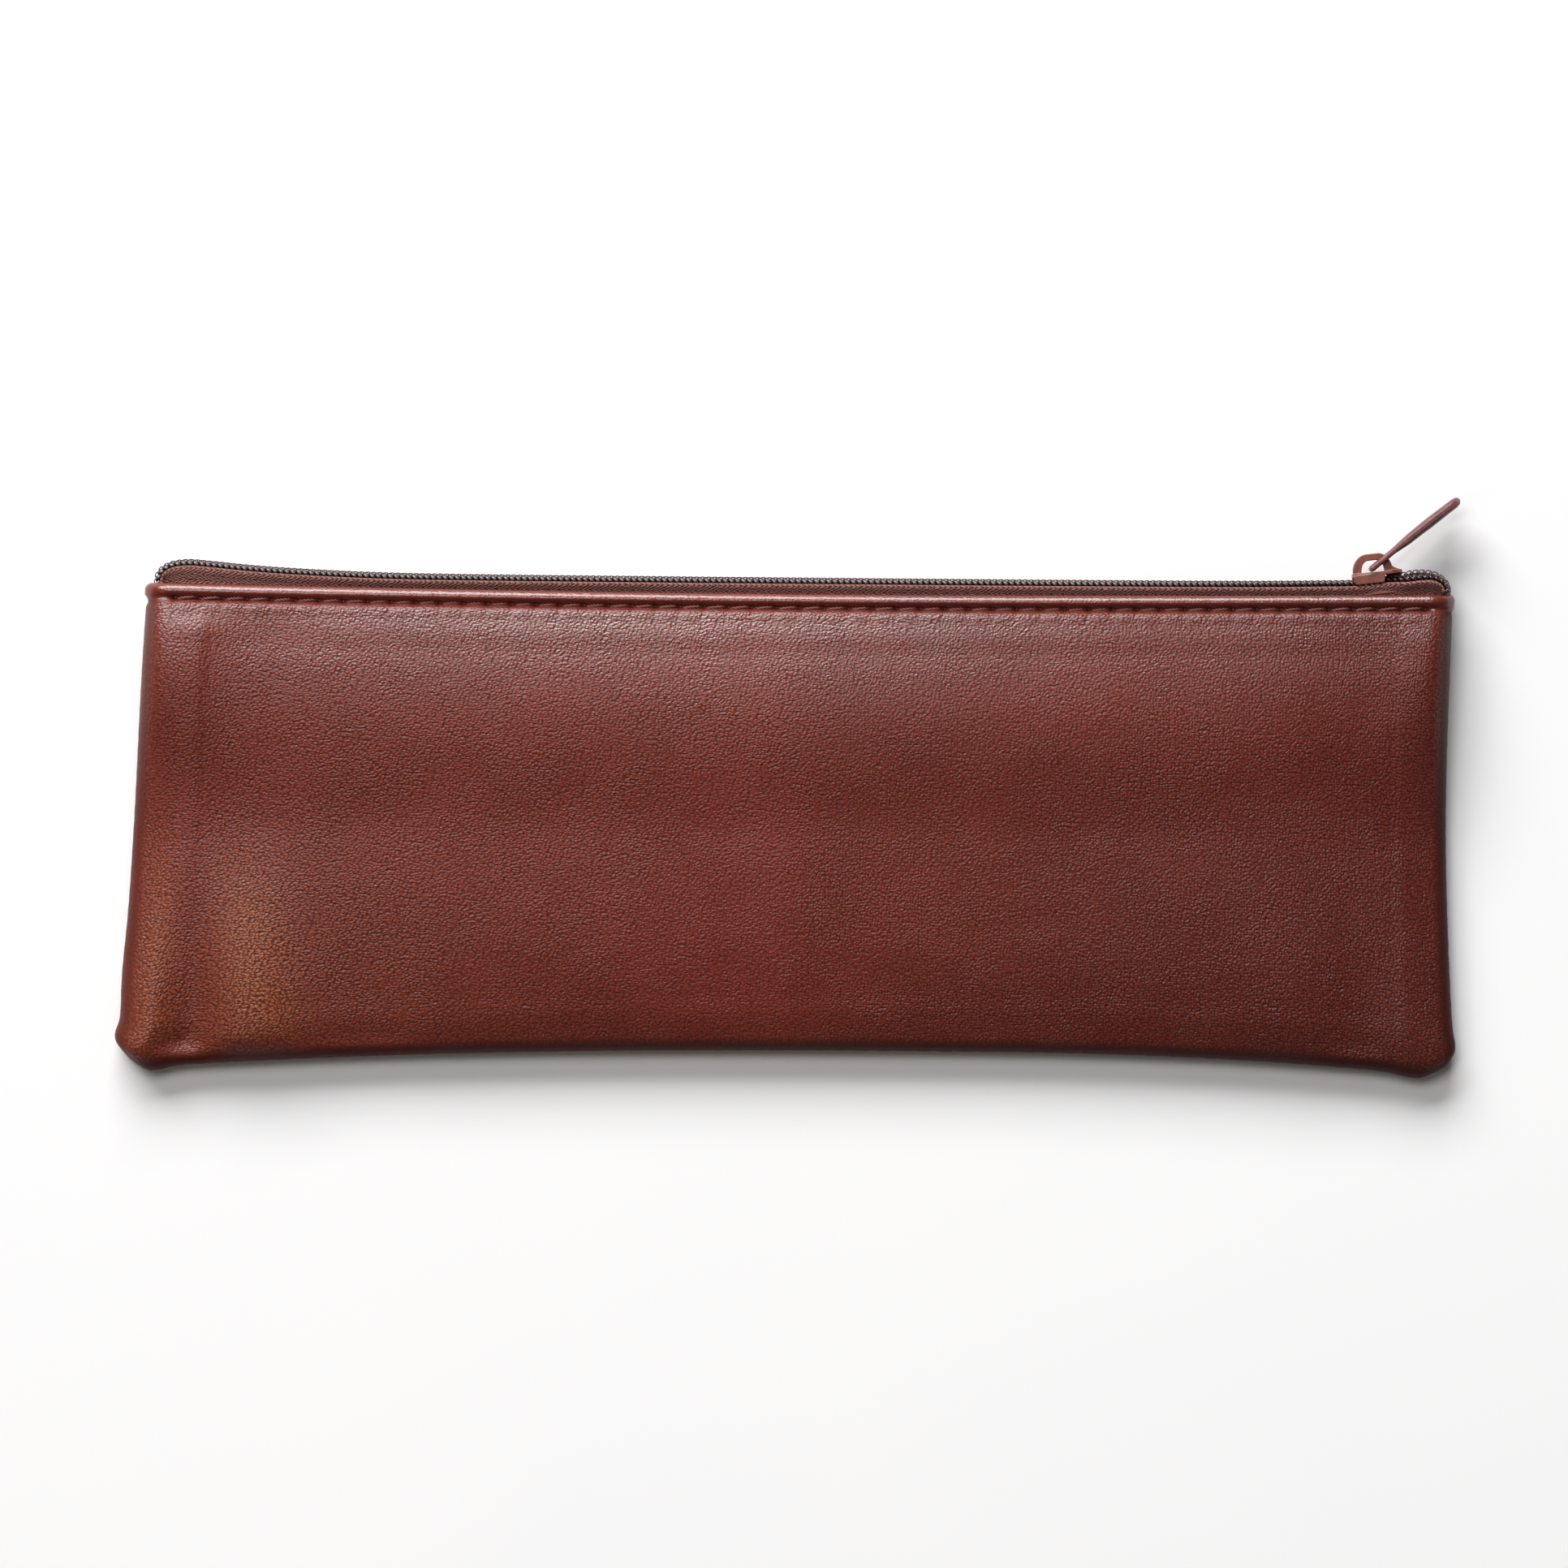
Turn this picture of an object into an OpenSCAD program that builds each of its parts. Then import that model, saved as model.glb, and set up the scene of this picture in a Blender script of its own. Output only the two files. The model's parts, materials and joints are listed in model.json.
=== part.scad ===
// Flat zippered pouch in coated leather, lying on its back.
// +X runs along the zip towards its closed end, +Y from the bottom seam to the zip,
// +Z up out of the front panel. Origin: on the resting face of the back panel. Millimetres.

/* [Pouch] */
// Width across the bottom corners
body_w = 220; // [180:1:240]
// Height of the leather from bottom corners to top edge
body_h = 80; // [74:1:100]
// Overall thickness at the zip
mouth_t = 10.8; // [10.8:0.1:12]
// Extra height of the crown in the middle of the front
crown = 6.7; // [4:0.1:9]
// Height of the bottom seam above the resting face
seam_z = 2.6; // [2.2:0.1:3]
// How much further out the left side stands at the bottom than at the top
left_lean = 3.6; // [0:0.1:5]
// How far the right side draws in between its ends
right_waist = 1.4; // [0:0.1:2]
// How far the bottom edge draws up between its corners
bottom_arch = 2.8; // [1:0.1:3.5]
// How far the turned corners stand out over the seam allowance inside them
corner_bulge = 0.85; // [0:0.05:1.2]

/* [Leather and lining] */
// Thickness of one layer of coated leather
leather_t = 0.9; // [0.7:0.05:1]
// Width of the turned edge and of the seam allowance
turn_w = 8.4; // [6:0.1:9]
// Thickness of the lining cloth
lining_t = 0.3; // [0.2:0.05:0.35]
// Distance from the top edge to the row of topstitching
stitch_inset = 1.9; // [1.6:0.1:3]
// Length of one topstitch, hole to hole
stitch_pitch = 3.94; // [3:0.1:5]
// Diameter of the sewing thread
thread_d = 0.44; // [0.3:0.02:0.5]

/* [Zip] */
// Width of the two closed coils
coil_w = 4; // [3.8:0.1:4.2]
// Thickness of the coil above its tape
coil_h = 1.3; // [1.2:0.05:1.4]
// Thickness of the woven tape
tape_t = 0.5; // [0.4:0.05:0.55]
// Height of the coil's middle above the middle of the pouch
coil_y = 38.8; // [38.4:0.05:39.4]

/* [Slider] */
// Rest position of the slider along the zip
slider_x = 96.7; // [60:0.1:96.7]
// Length of the slider
slider_l = 8.2; // [7.8:0.1:8.6]
// Width of the slider's wings
slider_w = 5.7; // [5.6:0.1:5.8]
// Tilt of the slider, raised by its pull
slider_tilt = 3; // [0:0.5:3]
// Length of the pull tab from its pivot
pull_l = 18.3; // [14:0.1:24]
// Direction of the pull at rest, from the line of the zip
pull_angle = 38.9; // [15:0.1:150]

/* [Hidden] */
$fn = 32;

LEATHER = [0.42, 0.20, 0.16];
LINING = [0.12, 0.10, 0.10];
TAPE = [0.45, 0.24, 0.20];
COIL = [0.16, 0.10, 0.09];
THREAD = [0.40, 0.20, 0.18];
PAINT = [0.55, 0.31, 0.26];

kx = body_w / 220;
ky = body_h / 80;
mid_z = mouth_t / 2;             // middle of the zip, and of the mouth
lip_half = mid_z - 0.15;         // from there to the outside of each turned edge
wide = 215 * kx;                 // spans used to turn an inset into a share of the panel
high = 77.6 * ky;

// Outline of the panels as sewn and turned, for a pouch of 220 by 80.
corner_l = [-107.9, -41.2];      // middle of the cut-off corner at the left
corner_r = [108.7, -40.8];       // and at the right
rim = 0.2;                       // half the gap between the edges of the two panels
function corner_cut(e) = pow(max(0, 1 - e / 2.8), 1.6);
function corner_out(e) = corner_bulge * (exp(-pow((e - 3.4) / 2.1, 2)) - 0.0727 * corner_cut(e));
function side_l(y) = -105.6 - left_lean * (34 - y) / 67;
function side_r(y) = 108.3 + right_waist * pow((y - 8) / 41, 2);
function low_y(x) = x < 30 ? -39.2 - bottom_arch * pow((30 - x) / 120, 2.6) : -39.2 - bottom_arch * 0.9 * pow((x - 30) / 68, 2.3);
function lip_y(x) = 35.7 + 0.9 * pow(x / 105, 2);
function edge_l(y) = let(e = y - corner_l[1]) side_l(y) - corner_out(e) + (corner_l[0] - side_l(corner_l[1])) * corner_cut(e);
function edge_r(y) = let(e = y - corner_r[1]) side_r(y) + 0.35 * corner_out(e) + (corner_r[0] - side_r(corner_r[1])) * corner_cut(e);
function edge_low(x) = let(e = (x - corner_l[0]) / 1.25, f = (corner_r[0] - x) / 1.6)
  low_y(x) - 0.65 * corner_out(e) - 0.7 * corner_out(f)
  + (corner_l[1] - low_y(corner_l[0])) * corner_cut(e) + (corner_r[1] - low_y(corner_r[0])) * corner_cut(f);
top_l = side_l(lip_y(-105.5));
top_r = side_r(lip_y(109));

function mix(a, b, t) = a + (b - a) * t;
function smooth(q) = let(c = min(1, max(0, q))) c * c * (3 - 2 * c);
function quarter(q) = let(c = min(1, max(0, q))) sqrt(1 - pow(1 - c, 2));

// One point of the panel in plan, from its shares across and up.
function low(s) = let(x = mix(corner_l[0], corner_r[0], s)) [x, edge_low(x)];
function top(s) = let(x = mix(top_l, top_r, s)) [x, lip_y(x)];
function left(t) = let(y = mix(corner_l[1], lip_y(top_l), t)) [edge_l(y), y];
function right(t) = let(y = mix(corner_r[1], lip_y(top_r), t)) [edge_r(y), y];
function plan(s, t) = let(p = (1 - t) * low(s) + t * top(s) + (1 - s) * left(t) + s * right(t)
    - (1 - s) * (1 - t) * low(0) - s * (1 - t) * low(1) - (1 - s) * t * top(0) - s * t * top(1))
  [p[0] * kx, p[1] * ky - 36 * (ky - 1)];

// Heights of the outside of the two panels, and of their insides.
function from_side(s) = min(s, 1 - s) * wide;
function from_low(t) = t * high;
function inset(s, t) = let(a = from_side(s), b = from_low(t)) a + b - sqrt(a * a + b * b);
function up(t) = smooth((from_low(t) - 36 * ky) / (32 * ky));
function seam(t) = mix(seam_z, mid_z, up(t));
function lip_round(t) = let(e = (1 - t) * high, r = leather_t - 0.1)
  e >= r ? 0 : r * (1 - sqrt(1 - pow(1 - e / r, 2)));
function layer(s, t) = (inset(s, t) < turn_w + 0.1 || from_low(t) > high - turn_w - 0.1) ? 2 * leather_t : leather_t;
function front_out(s, t) = let(d = inset(s, t), u = up(t))
  seam(t) + mix(2.1, lip_half, u) * quarter((d + 0.04) / mix(2.1, 4, u))
  + (crown * (1 - u) + 4 * u * (1 - u)) * (1 - exp(-d / 18)) - lip_round(t);
function front_in(s, t) = max(seam(t) + rim, front_out(s, t) + lip_round(t) - layer(s, t) + lip_round(t));
function back_out(s, t) = let(d = inset(s, t), u = up(t), floor_z = 0.15 * smooth((from_low(t) - 66 * ky) / 4))
  seam(t) - (seam(t) - floor_z) * quarter((d + 0.04) / 4.2) + lip_round(t);
function back_in(s, t) = min(seam(t) - rim, back_out(s, t) - lip_round(t) + layer(s, t) - lip_round(t));

// A closed sheet between two height functions over a grid of shares.
module sheet(across, along, upper, lower) {
  n = len(across);
  m = len(along);
  k = n * m;
  pts = concat([for (t = along) for (s = across) let(p = plan(s, t)) [p[0], p[1], upper(s, t)]],
    [for (t = along) for (s = across) let(p = plan(s, t)) [p[0], p[1], lower(s, t)]]);
  faces = concat(
    [for (j = [0:m - 2]) for (i = [0:n - 2]) let(a = j * n + i) each [[a, a + n, a + n + 1], [a, a + n + 1, a + 1]]],
    [for (j = [0:m - 2]) for (i = [0:n - 2]) let(a = k + j * n + i) each [[a, a + n + 1, a + n], [a, a + 1, a + n + 1]]],
    [for (i = [0:n - 2]) each [[i, i + 1, k + i + 1], [i, k + i + 1, k + i]]],
    [for (i = [0:n - 2]) let(a = (m - 1) * n + i) each [[a + 1, a, k + a], [a + 1, k + a, k + a + 1]]],
    [for (j = [0:m - 2]) let(a = j * n) each [[a + n, a, k + a], [a + n, k + a, k + a + n]]],
    [for (j = [0:m - 2]) let(a = j * n + n - 1) each [[a, a + n, k + a + n], [a, k + a + n, k + a]]]);
  polyhedron(pts, faces, convexity = 6);
}

side_steps = [0, 0.3, 0.9, 1.7, 2.7, 4.2, 6, turn_w, turn_w + 0.5, 13, 20, 32, 50, 75];
low_steps = [0, 0.3, 0.9, 1.7, 2.7, 4.2, 6, turn_w, turn_w + 0.5, 13, 20, 29, 38, 44, 50, 56, 62, 66];
function both(steps) = concat([for (d = steps) d / wide], [0.5], [for (i = [len(steps) - 1:-1:0]) 1 - steps[i] / wide]);
panel_s = both(side_steps);
panel_t = concat([for (d = low_steps) d * ky / high],
  [for (d = [turn_w + 0.5, turn_w, 5, 2.5, 0.8, 0.45, 0.2, 0]) 1 - d / high]);
lining_s = both([3, 4.2, 6, turn_w, turn_w + 0.5, 13, 20, 32, 50, 75]);
lining_t_steps = concat([for (d = concat([3], [for (d = low_steps) if (d > 4) d])) d * ky / high], [for (d = [11, turn_w + 0.5, turn_w, 5, 2.6]) 1 - d / high]);

module front_panel() { color(LEATHER) sheet(panel_s, panel_t, function(s, t) front_out(s, t), function(s, t) front_in(s, t)); }
module back_panel() { color(LEATHER) sheet(panel_s, panel_t, function(s, t) back_in(s, t), function(s, t) back_out(s, t)); }

// The lining hangs just inside the leather, and passes under the tape at the mouth.
lip_tape = lip_half - 2 * leather_t - 0.05;    // outer face of the tape, from the middle of the mouth
lining_lip = lip_tape - tape_t - 0.1;
function under_tape(t) = smooth((from_low(t) - (high - 15)) / (15 - turn_w - 1));
function cloth_edge(s, t) = smooth((min(from_side(s), from_low(t)) - 3) / 5.5);
function front_cloth(s, t) = let(a = mix(seam(t) + rim + lining_t, front_in(s, t) - 0.1, cloth_edge(s, t)))
  mix(a, min(a, mid_z + lining_lip), under_tape(t));
function back_cloth(s, t) = let(a = mix(seam(t) - rim - lining_t, back_in(s, t) + 0.1, cloth_edge(s, t)))
  mix(a, max(a, mid_z - lining_lip), under_tape(t));
module front_lining() { color(LINING) sheet(lining_s, lining_t_steps,
  function(s, t) front_cloth(s, t), function(s, t) front_cloth(s, t) - lining_t); }
module back_lining() { color(LINING) sheet(lining_s, lining_t_steps,
  function(s, t) back_cloth(s, t) + lining_t, function(s, t) back_cloth(s, t)); }

// The zip. Everything along it is drawn across Y and Z for the front half, and run along X.
zip_l = -99.3 * kx;             // where the coil starts to turn down into each end
zip_r = 102.5 * kx;
turn_r = 4;                     // radius of that turn
coil_in = 0.55;                 // from the middle of the zip to the coil's body
tape_top = coil_y - coil_h / 2;
bend = 0.8;                     // inner radius where the tape turns down to the mouth
tape_low = lip_y(0) - 7.2;

module along_x(from, to) { translate([from, 0, 0]) rotate([90, 0, 90]) linear_extrude(height = to - from) children(); }
module half(front) { if (front) children(); else translate([0, 0, 2 * mid_z]) mirror([0, 0, 1]) children(); }

module tape_section() {
  arc_y = tape_top - tape_t - bend;
  arc_z = mid_z + lip_tape - tape_t - bend;
  union() {
    translate([tape_top - tape_t, mid_z + coil_in]) square([tape_t, arc_z - mid_z - coil_in]);
    intersection() {
      difference() {
        translate([arc_y, arc_z]) circle(r = bend + tape_t, $fn = 48);
        translate([arc_y, arc_z]) circle(r = bend, $fn = 48);
      }
      translate([arc_y, arc_z]) square([3, 3]);
    }
    translate([tape_low, mid_z + lip_tape - tape_t]) square([arc_y - tape_low, tape_t]);
  }
}
module zip_turns() {
  translate([0, coil_y, mid_z]) {
    translate([zip_r, -turn_r, 0]) rotate_extrude(angle = 90, $fn = 64) translate([turn_r, 0]) children();
    translate([zip_l, -turn_r, 0]) rotate([0, 0, 90]) rotate_extrude(angle = 90, $fn = 64) translate([turn_r, 0]) children();
  }
}
module zip_tape(front) {
  color(TAPE) half(front) union() {
    along_x(zip_l, zip_r) tape_section();
    zip_turns() translate([-coil_h / 2 - tape_t, coil_in]) square([tape_t, coil_w / 2 - coil_in]);
  }
}

// Section of one coil's body, its middle at the origin in height: a channel for the cord, and a groove for the stitching.
cord_z = (coil_in + coil_w / 2) / 2;
cord_r = 0.3;
groove_z = coil_w / 2 - 0.45;
module coil_section() {
  difference() {
    translate([-coil_h / 2, coil_in]) square([coil_h, coil_w / 2 - coil_in]);
    translate([0, cord_z]) circle(r = cord_r + 0.03, $fn = 24);
    translate([coil_h / 2 - 0.15, groove_z - 0.12]) square([1, 0.24]);
  }
}
module zip_run() {
  translate([0, coil_y, mid_z]) along_x(zip_l, zip_r) children();
  zip_turns() children();
}
module coil(front) { color(COIL) half(front) zip_run() coil_section(); }
module coil_cord(front) { color(TAPE) half(front) zip_run() translate([0, cord_z]) circle(r = cord_r, $fn = 24); }
module coil_stitching(front) { color(THREAD) half(front) zip_run() translate([coil_h / 2 - 0.14, groove_z - 0.1]) square([0.13, 0.2]); }

// Topstitching: short stitches along each turned edge, sunk half their thickness into it.
stitches = floor((wide - 14) / stitch_pitch);
module topstitching(front) {
  color(THREAD) half(front) for (i = [0:stitches - 1]) {
    x0 = (top_l + top_r) / 2 * kx + (i - (stitches - 1) / 2) * stitch_pitch;
    y0 = (lip_y(x0 / kx) * ky - 36 * (ky - 1)) - stitch_inset;
    translate([x0 - stitch_pitch * 0.36, y0, 2 * mid_z - 0.15 - thread_d / 2 + 0.06])
      rotate([0, 90, 0]) cylinder(d = thread_d, h = stitch_pitch * 0.72, $fn = 16);
  }
}

// Seams: the thread lies between the two rims, one stitch after another.
module stitch_between(a, b, d) {
  v = b - a;
  l = norm(v);
  translate(a + v * 0.08) rotate([0, acos(v[2] / l), atan2(v[1], v[0])]) cylinder(d = d, h = l * 0.84, $fn = 16);
}
function seam_point(s, t) = let(p = plan(s, t)) [p[0], p[1], seam(t)];
module side_seam_thread(s) {
  n = 22;
  color(THREAD) for (i = [0:n - 1]) stitch_between(
    seam_point(s, mix(0.02, 0.97, i / n)), seam_point(s, mix(0.02, 0.97, (i + 1) / n)), 0.2);
}
module left_seam_thread() { side_seam_thread(1.2 / wide); }
module right_seam_thread() { side_seam_thread(1 - 1.2 / wide); }
module bottom_seam_thread() {
  n = 60;
  t = 1.2 / high;
  color(THREAD) for (i = [0:n - 1]) stitch_between(
    seam_point(mix(0.02, 0.98, i / n), t), seam_point(mix(0.02, 0.98, (i + 1) / n), t), 0.2);
}
module lining_seam_thread() {
  n = 40;
  t = 3.6 / high;
  e = 3.6 / wide;
  color(LINING) {
    for (i = [0:n - 1]) stitch_between(seam_point(mix(0.04, 0.96, i / n), t), seam_point(mix(0.04, 0.96, (i + 1) / n), t), 0.2);
    for (s = [e, 1 - e]) for (i = [0:15]) stitch_between(
      seam_point(s, mix(0.08, 0.9, i / 16)), seam_point(s, mix(0.08, 0.9, (i + 1) / 16)), 0.2);
  }
}

// Bartacks hold the ends of the two tapes together under the coil.
module bartack(x) {
  color(THREAD) for (i = [-2:2]) translate([x + i * 0.32, tape_top - tape_t - 0.3, mid_z - 2.4])
    cylinder(d = 0.3, h = 4.8, $fn = 16);
}
module left_bartack() { bartack(zip_l + 1.1); }
module right_bartack() { bartack(zip_r - 0.1); }

// Slider, drawn about the middle of the coil: x along the zip, y outwards, z across.
gap_up = coil_h / 2 + 0.3;        // inside of the upper wing
gap_low = coil_h / 2 + tape_t + 0.3;  // inside of the lower wing
wing_t = 0.6;
plate_top = gap_up + wing_t;
module wing_plan(w) {
  // narrow at the rear, wider where the two coils part
  polygon([[-slider_l / 2, -w / 2 + 0.7], [-slider_l / 2 + 0.6, -w / 2 + 0.1], [0, -w / 2], [slider_l / 2 - 1.6, -w / 2],
    [slider_l / 2 - 0.3, -w / 2 + 1.1], [slider_l / 2, -0.8], [slider_l / 2, 0.8], [slider_l / 2 - 0.3, w / 2 - 1.1],
    [slider_l / 2 - 1.6, w / 2], [0, w / 2], [-slider_l / 2 + 0.6, w / 2 - 0.1], [-slider_l / 2, w / 2 - 0.7]]);
}
module flat_plate(y0, t, w) { translate([0, y0 + t, 0]) rotate([90, 0, 0]) linear_extrude(height = t) wing_plan(w); }
bridge_w = 1.6;
bridge_r = 2.5;
module bridge_side(r) {
  union() {
    translate([-1.4, 0.2]) circle(r = r, $fn = 64);
    translate([0.3, 0.2]) circle(r = r, $fn = 64);
    translate([-1.4, 0.2 - r]) square([1.7, 2 * r]);
    translate([-1.4 - r, -1]) square([1.7 + 2 * r, 1.2]);
  }
}
module bridge() {
  translate([0, plate_top, -bridge_w / 2]) linear_extrude(height = bridge_w) intersection() {
    union() {
      difference() { bridge_side(bridge_r); bridge_side(bridge_r - 0.95); }
      polygon([[1.9, 1.6], [2.75, 1], [3.9, 0.1], [3.9, -0.3], [1.8, -0.3]]);
    }
    difference() {
      translate([-6, -0.3]) square([12, 6]);
      bridge_side(bridge_r - 0.95);
    }
  }
}
module slider_shape() {
  union() {
    flat_plate(gap_up, wing_t, slider_w);
    flat_plate(-gap_low - 0.8, 0.8, 4.6);
    for (k = [-1, 1]) translate([-slider_l / 2 + 0.5, -coil_h / 2 + 0.3, k > 0 ? coil_w / 2 + 0.2 : -slider_w / 2 + 0.08])
      cube([4.8, gap_up + coil_h / 2 - 0.2, slider_w / 2 - 0.08 - coil_w / 2 - 0.2]);
    translate([1.4, -gap_low - 0.4, -0.4]) cube([2.5, gap_low + gap_up + 0.8, 0.8]);
    bridge();
  }
}
module at_slider() { translate([slider_x * kx, coil_y, mid_z]) rotate([0, 0, slider_tilt]) children(); }
module slider_body() { color(PAINT) at_slider() slider_shape(); }

// Pull tab: a flat tab with an eye; the bar of the eye turns under the bridge.
pin_x = -0.8;
pin_r = 0.5;
pin_y = plate_top + pin_r + 0.1;
module pull_side() {
  union() {
    circle(r = pin_r, $fn = 32);
    polygon([[0, -0.5], [5, -0.5], [8, -0.78], [pull_l - 0.8, -0.78], [pull_l - 0.25, -0.5], [pull_l, 0],
      [pull_l - 0.25, 0.5], [pull_l - 0.8, 0.78], [8, 0.78], [5, 0.5], [0, 0.5]]);
  }
}
module pull_plan() {
  difference() {
    union() {
      translate([-pin_r, -2.1]) square([6, 4.2]);
      polygon([[5, -2.1], [pull_l - 2.7, -2.7], [pull_l - 2.7, 2.7], [5, 2.1]]);
      translate([pull_l - 2.7, 0]) circle(r = 2.7, $fn = 48);
    }
    translate([pin_r, -1.1]) square([4.4, 2.2]);
  }
}
module pull_shape() {
  intersection() {
    translate([0, 0, -3]) linear_extrude(height = 6) pull_side();
    translate([0, 3, 0]) rotate([90, 0, 0]) linear_extrude(height = 6) pull_plan();
  }
}
module pull_tab() {
  color(PAINT) at_slider() translate([pin_x, pin_y, 0]) rotate([0, 0, pull_angle - slider_tilt]) pull_shape();
}

back_panel();
front_panel();
back_lining();
front_lining();
zip_tape(false);  // back_zip_tape
zip_tape(true);  // front_zip_tape
coil(false);  // back_coil
coil(true);  // front_coil
coil_cord(false);  // back_coil_cord
coil_cord(true);  // front_coil_cord
coil_stitching(false);  // back_coil_stitching
coil_stitching(true);  // front_coil_stitching
topstitching(false);  // back_topstitching
topstitching(true);  // front_topstitching
left_seam_thread();
right_seam_thread();
bottom_seam_thread();
lining_seam_thread();
left_bartack();
right_bartack();
slider_body();
pull_tab();
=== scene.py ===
# Looks of the zippered pouch: sewn leather shells, woven tapes, wound nylon coils, thread, cast slider and pull.
import json
import math

import bpy
import bmesh
import numpy as np
from mathutils import Matrix, Vector, noise

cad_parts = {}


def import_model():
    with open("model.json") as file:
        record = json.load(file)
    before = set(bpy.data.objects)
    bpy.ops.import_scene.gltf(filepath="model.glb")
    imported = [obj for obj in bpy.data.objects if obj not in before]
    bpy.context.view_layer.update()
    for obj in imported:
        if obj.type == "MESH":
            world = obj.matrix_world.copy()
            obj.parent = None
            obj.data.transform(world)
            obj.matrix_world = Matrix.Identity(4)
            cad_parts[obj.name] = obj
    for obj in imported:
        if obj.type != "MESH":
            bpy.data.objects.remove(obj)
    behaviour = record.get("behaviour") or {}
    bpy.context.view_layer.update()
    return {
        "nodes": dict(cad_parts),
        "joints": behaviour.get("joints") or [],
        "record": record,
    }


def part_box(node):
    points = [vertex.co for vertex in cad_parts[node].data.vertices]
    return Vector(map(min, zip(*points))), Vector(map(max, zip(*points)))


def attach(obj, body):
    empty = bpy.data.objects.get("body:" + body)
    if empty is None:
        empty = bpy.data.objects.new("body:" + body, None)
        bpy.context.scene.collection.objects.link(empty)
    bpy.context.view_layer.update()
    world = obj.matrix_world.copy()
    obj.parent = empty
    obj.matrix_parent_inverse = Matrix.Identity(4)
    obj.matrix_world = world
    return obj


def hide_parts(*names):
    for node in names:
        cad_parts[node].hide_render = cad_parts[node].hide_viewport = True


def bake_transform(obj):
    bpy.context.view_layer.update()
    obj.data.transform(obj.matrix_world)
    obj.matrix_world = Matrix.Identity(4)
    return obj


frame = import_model()
MM = 0.001
scene = bpy.context.scene
record = frame["record"]

# ------------------------------------------------------------------ small helpers


def smooth(q):
    c = np.clip(q, 0.0, 1.0)
    return c * c * (3 - 2 * c)


def quarter(q):
    c = np.clip(q, 0.0, 1.0)
    return np.sqrt(np.maximum(0.0, 1 - (1 - c) ** 2))


def mix(a, b, t):
    return a + (b - a) * t


def gauss(x, m, w):
    return np.exp(-(((x - m) / w) ** 2))


def wave(x, y, seed, size):
    """Smooth, repeatable unevenness between about -1 and 1, from a few crossed waves."""
    out = np.zeros_like(np.asarray(x, float) + np.asarray(y, float))
    for k in range(6):
        a = seed * 1.7 + k * 2.399
        f = (0.6 + 0.23 * k) / size
        out += np.sin(2 * math.pi * f * (x * math.cos(a) + y * math.sin(a)) + a * 3.1) / (1 + 0.35 * k)
    return out / 2.6


def mesh_from(name, verts, faces, smooth_shade=True, uvs=None):
    """verts (n,3) in millimetres; faces (m,4) or (m,3) int array, or a list of polygons."""
    me = bpy.data.meshes.new(name)
    verts = np.asarray(verts, float) * MM
    if isinstance(faces, np.ndarray):
        n, k = faces.shape
        me.vertices.add(len(verts))
        me.vertices.foreach_set("co", verts.astype(np.float32).ravel())
        me.loops.add(n * k)
        me.loops.foreach_set("vertex_index", faces.astype(np.int32).ravel())
        me.polygons.add(n)
        me.polygons.foreach_set("loop_start", np.arange(0, n * k, k, dtype=np.int32))
        me.update(calc_edges=True)
    else:
        me.from_pydata(verts.tolist(), [], faces)
    if uvs is not None:
        layer = me.uv_layers.new(name="UVMap")
        idx = np.zeros(len(me.loops), np.int32)
        me.loops.foreach_get("vertex_index", idx)
        layer.data.foreach_set("uv", np.asarray(uvs, np.float32)[idx].ravel())
    me.validate()
    if smooth_shade:
        me.polygons.foreach_set("use_smooth", [True] * len(me.polygons))
    ob = bpy.data.objects.new(name, me)
    scene.collection.objects.link(ob)
    return ob


def grid_faces(n, m, wrap_n=False, wrap_m=False, off=0):
    """Quads over an n by m grid of vertices, row-major, index i*m + j."""
    i = np.arange(n if wrap_n else n - 1)
    j = np.arange(m if wrap_m else m - 1)
    I, J = np.meshgrid(i, j, indexing="ij")
    a = I * m + J
    b = ((I + 1) % n) * m + J
    c = ((I + 1) % n) * m + (J + 1) % m
    d = I * m + (J + 1) % m
    return np.stack([a, b, c, d], -1).reshape(-1, 4) + off


def frames_along(P, up=(0, 0, 1)):
    """Tangent, normal and binormal along a path of points (n,3), with one fixed reference direction."""
    T = np.gradient(P, axis=0)
    T /= np.linalg.norm(T, axis=1)[:, None]
    up = np.asarray(up, float)
    B = up - (T @ up)[:, None] * T
    B /= np.linalg.norm(B, axis=1)[:, None]
    N = np.cross(B, T)
    return T, N, B


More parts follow.
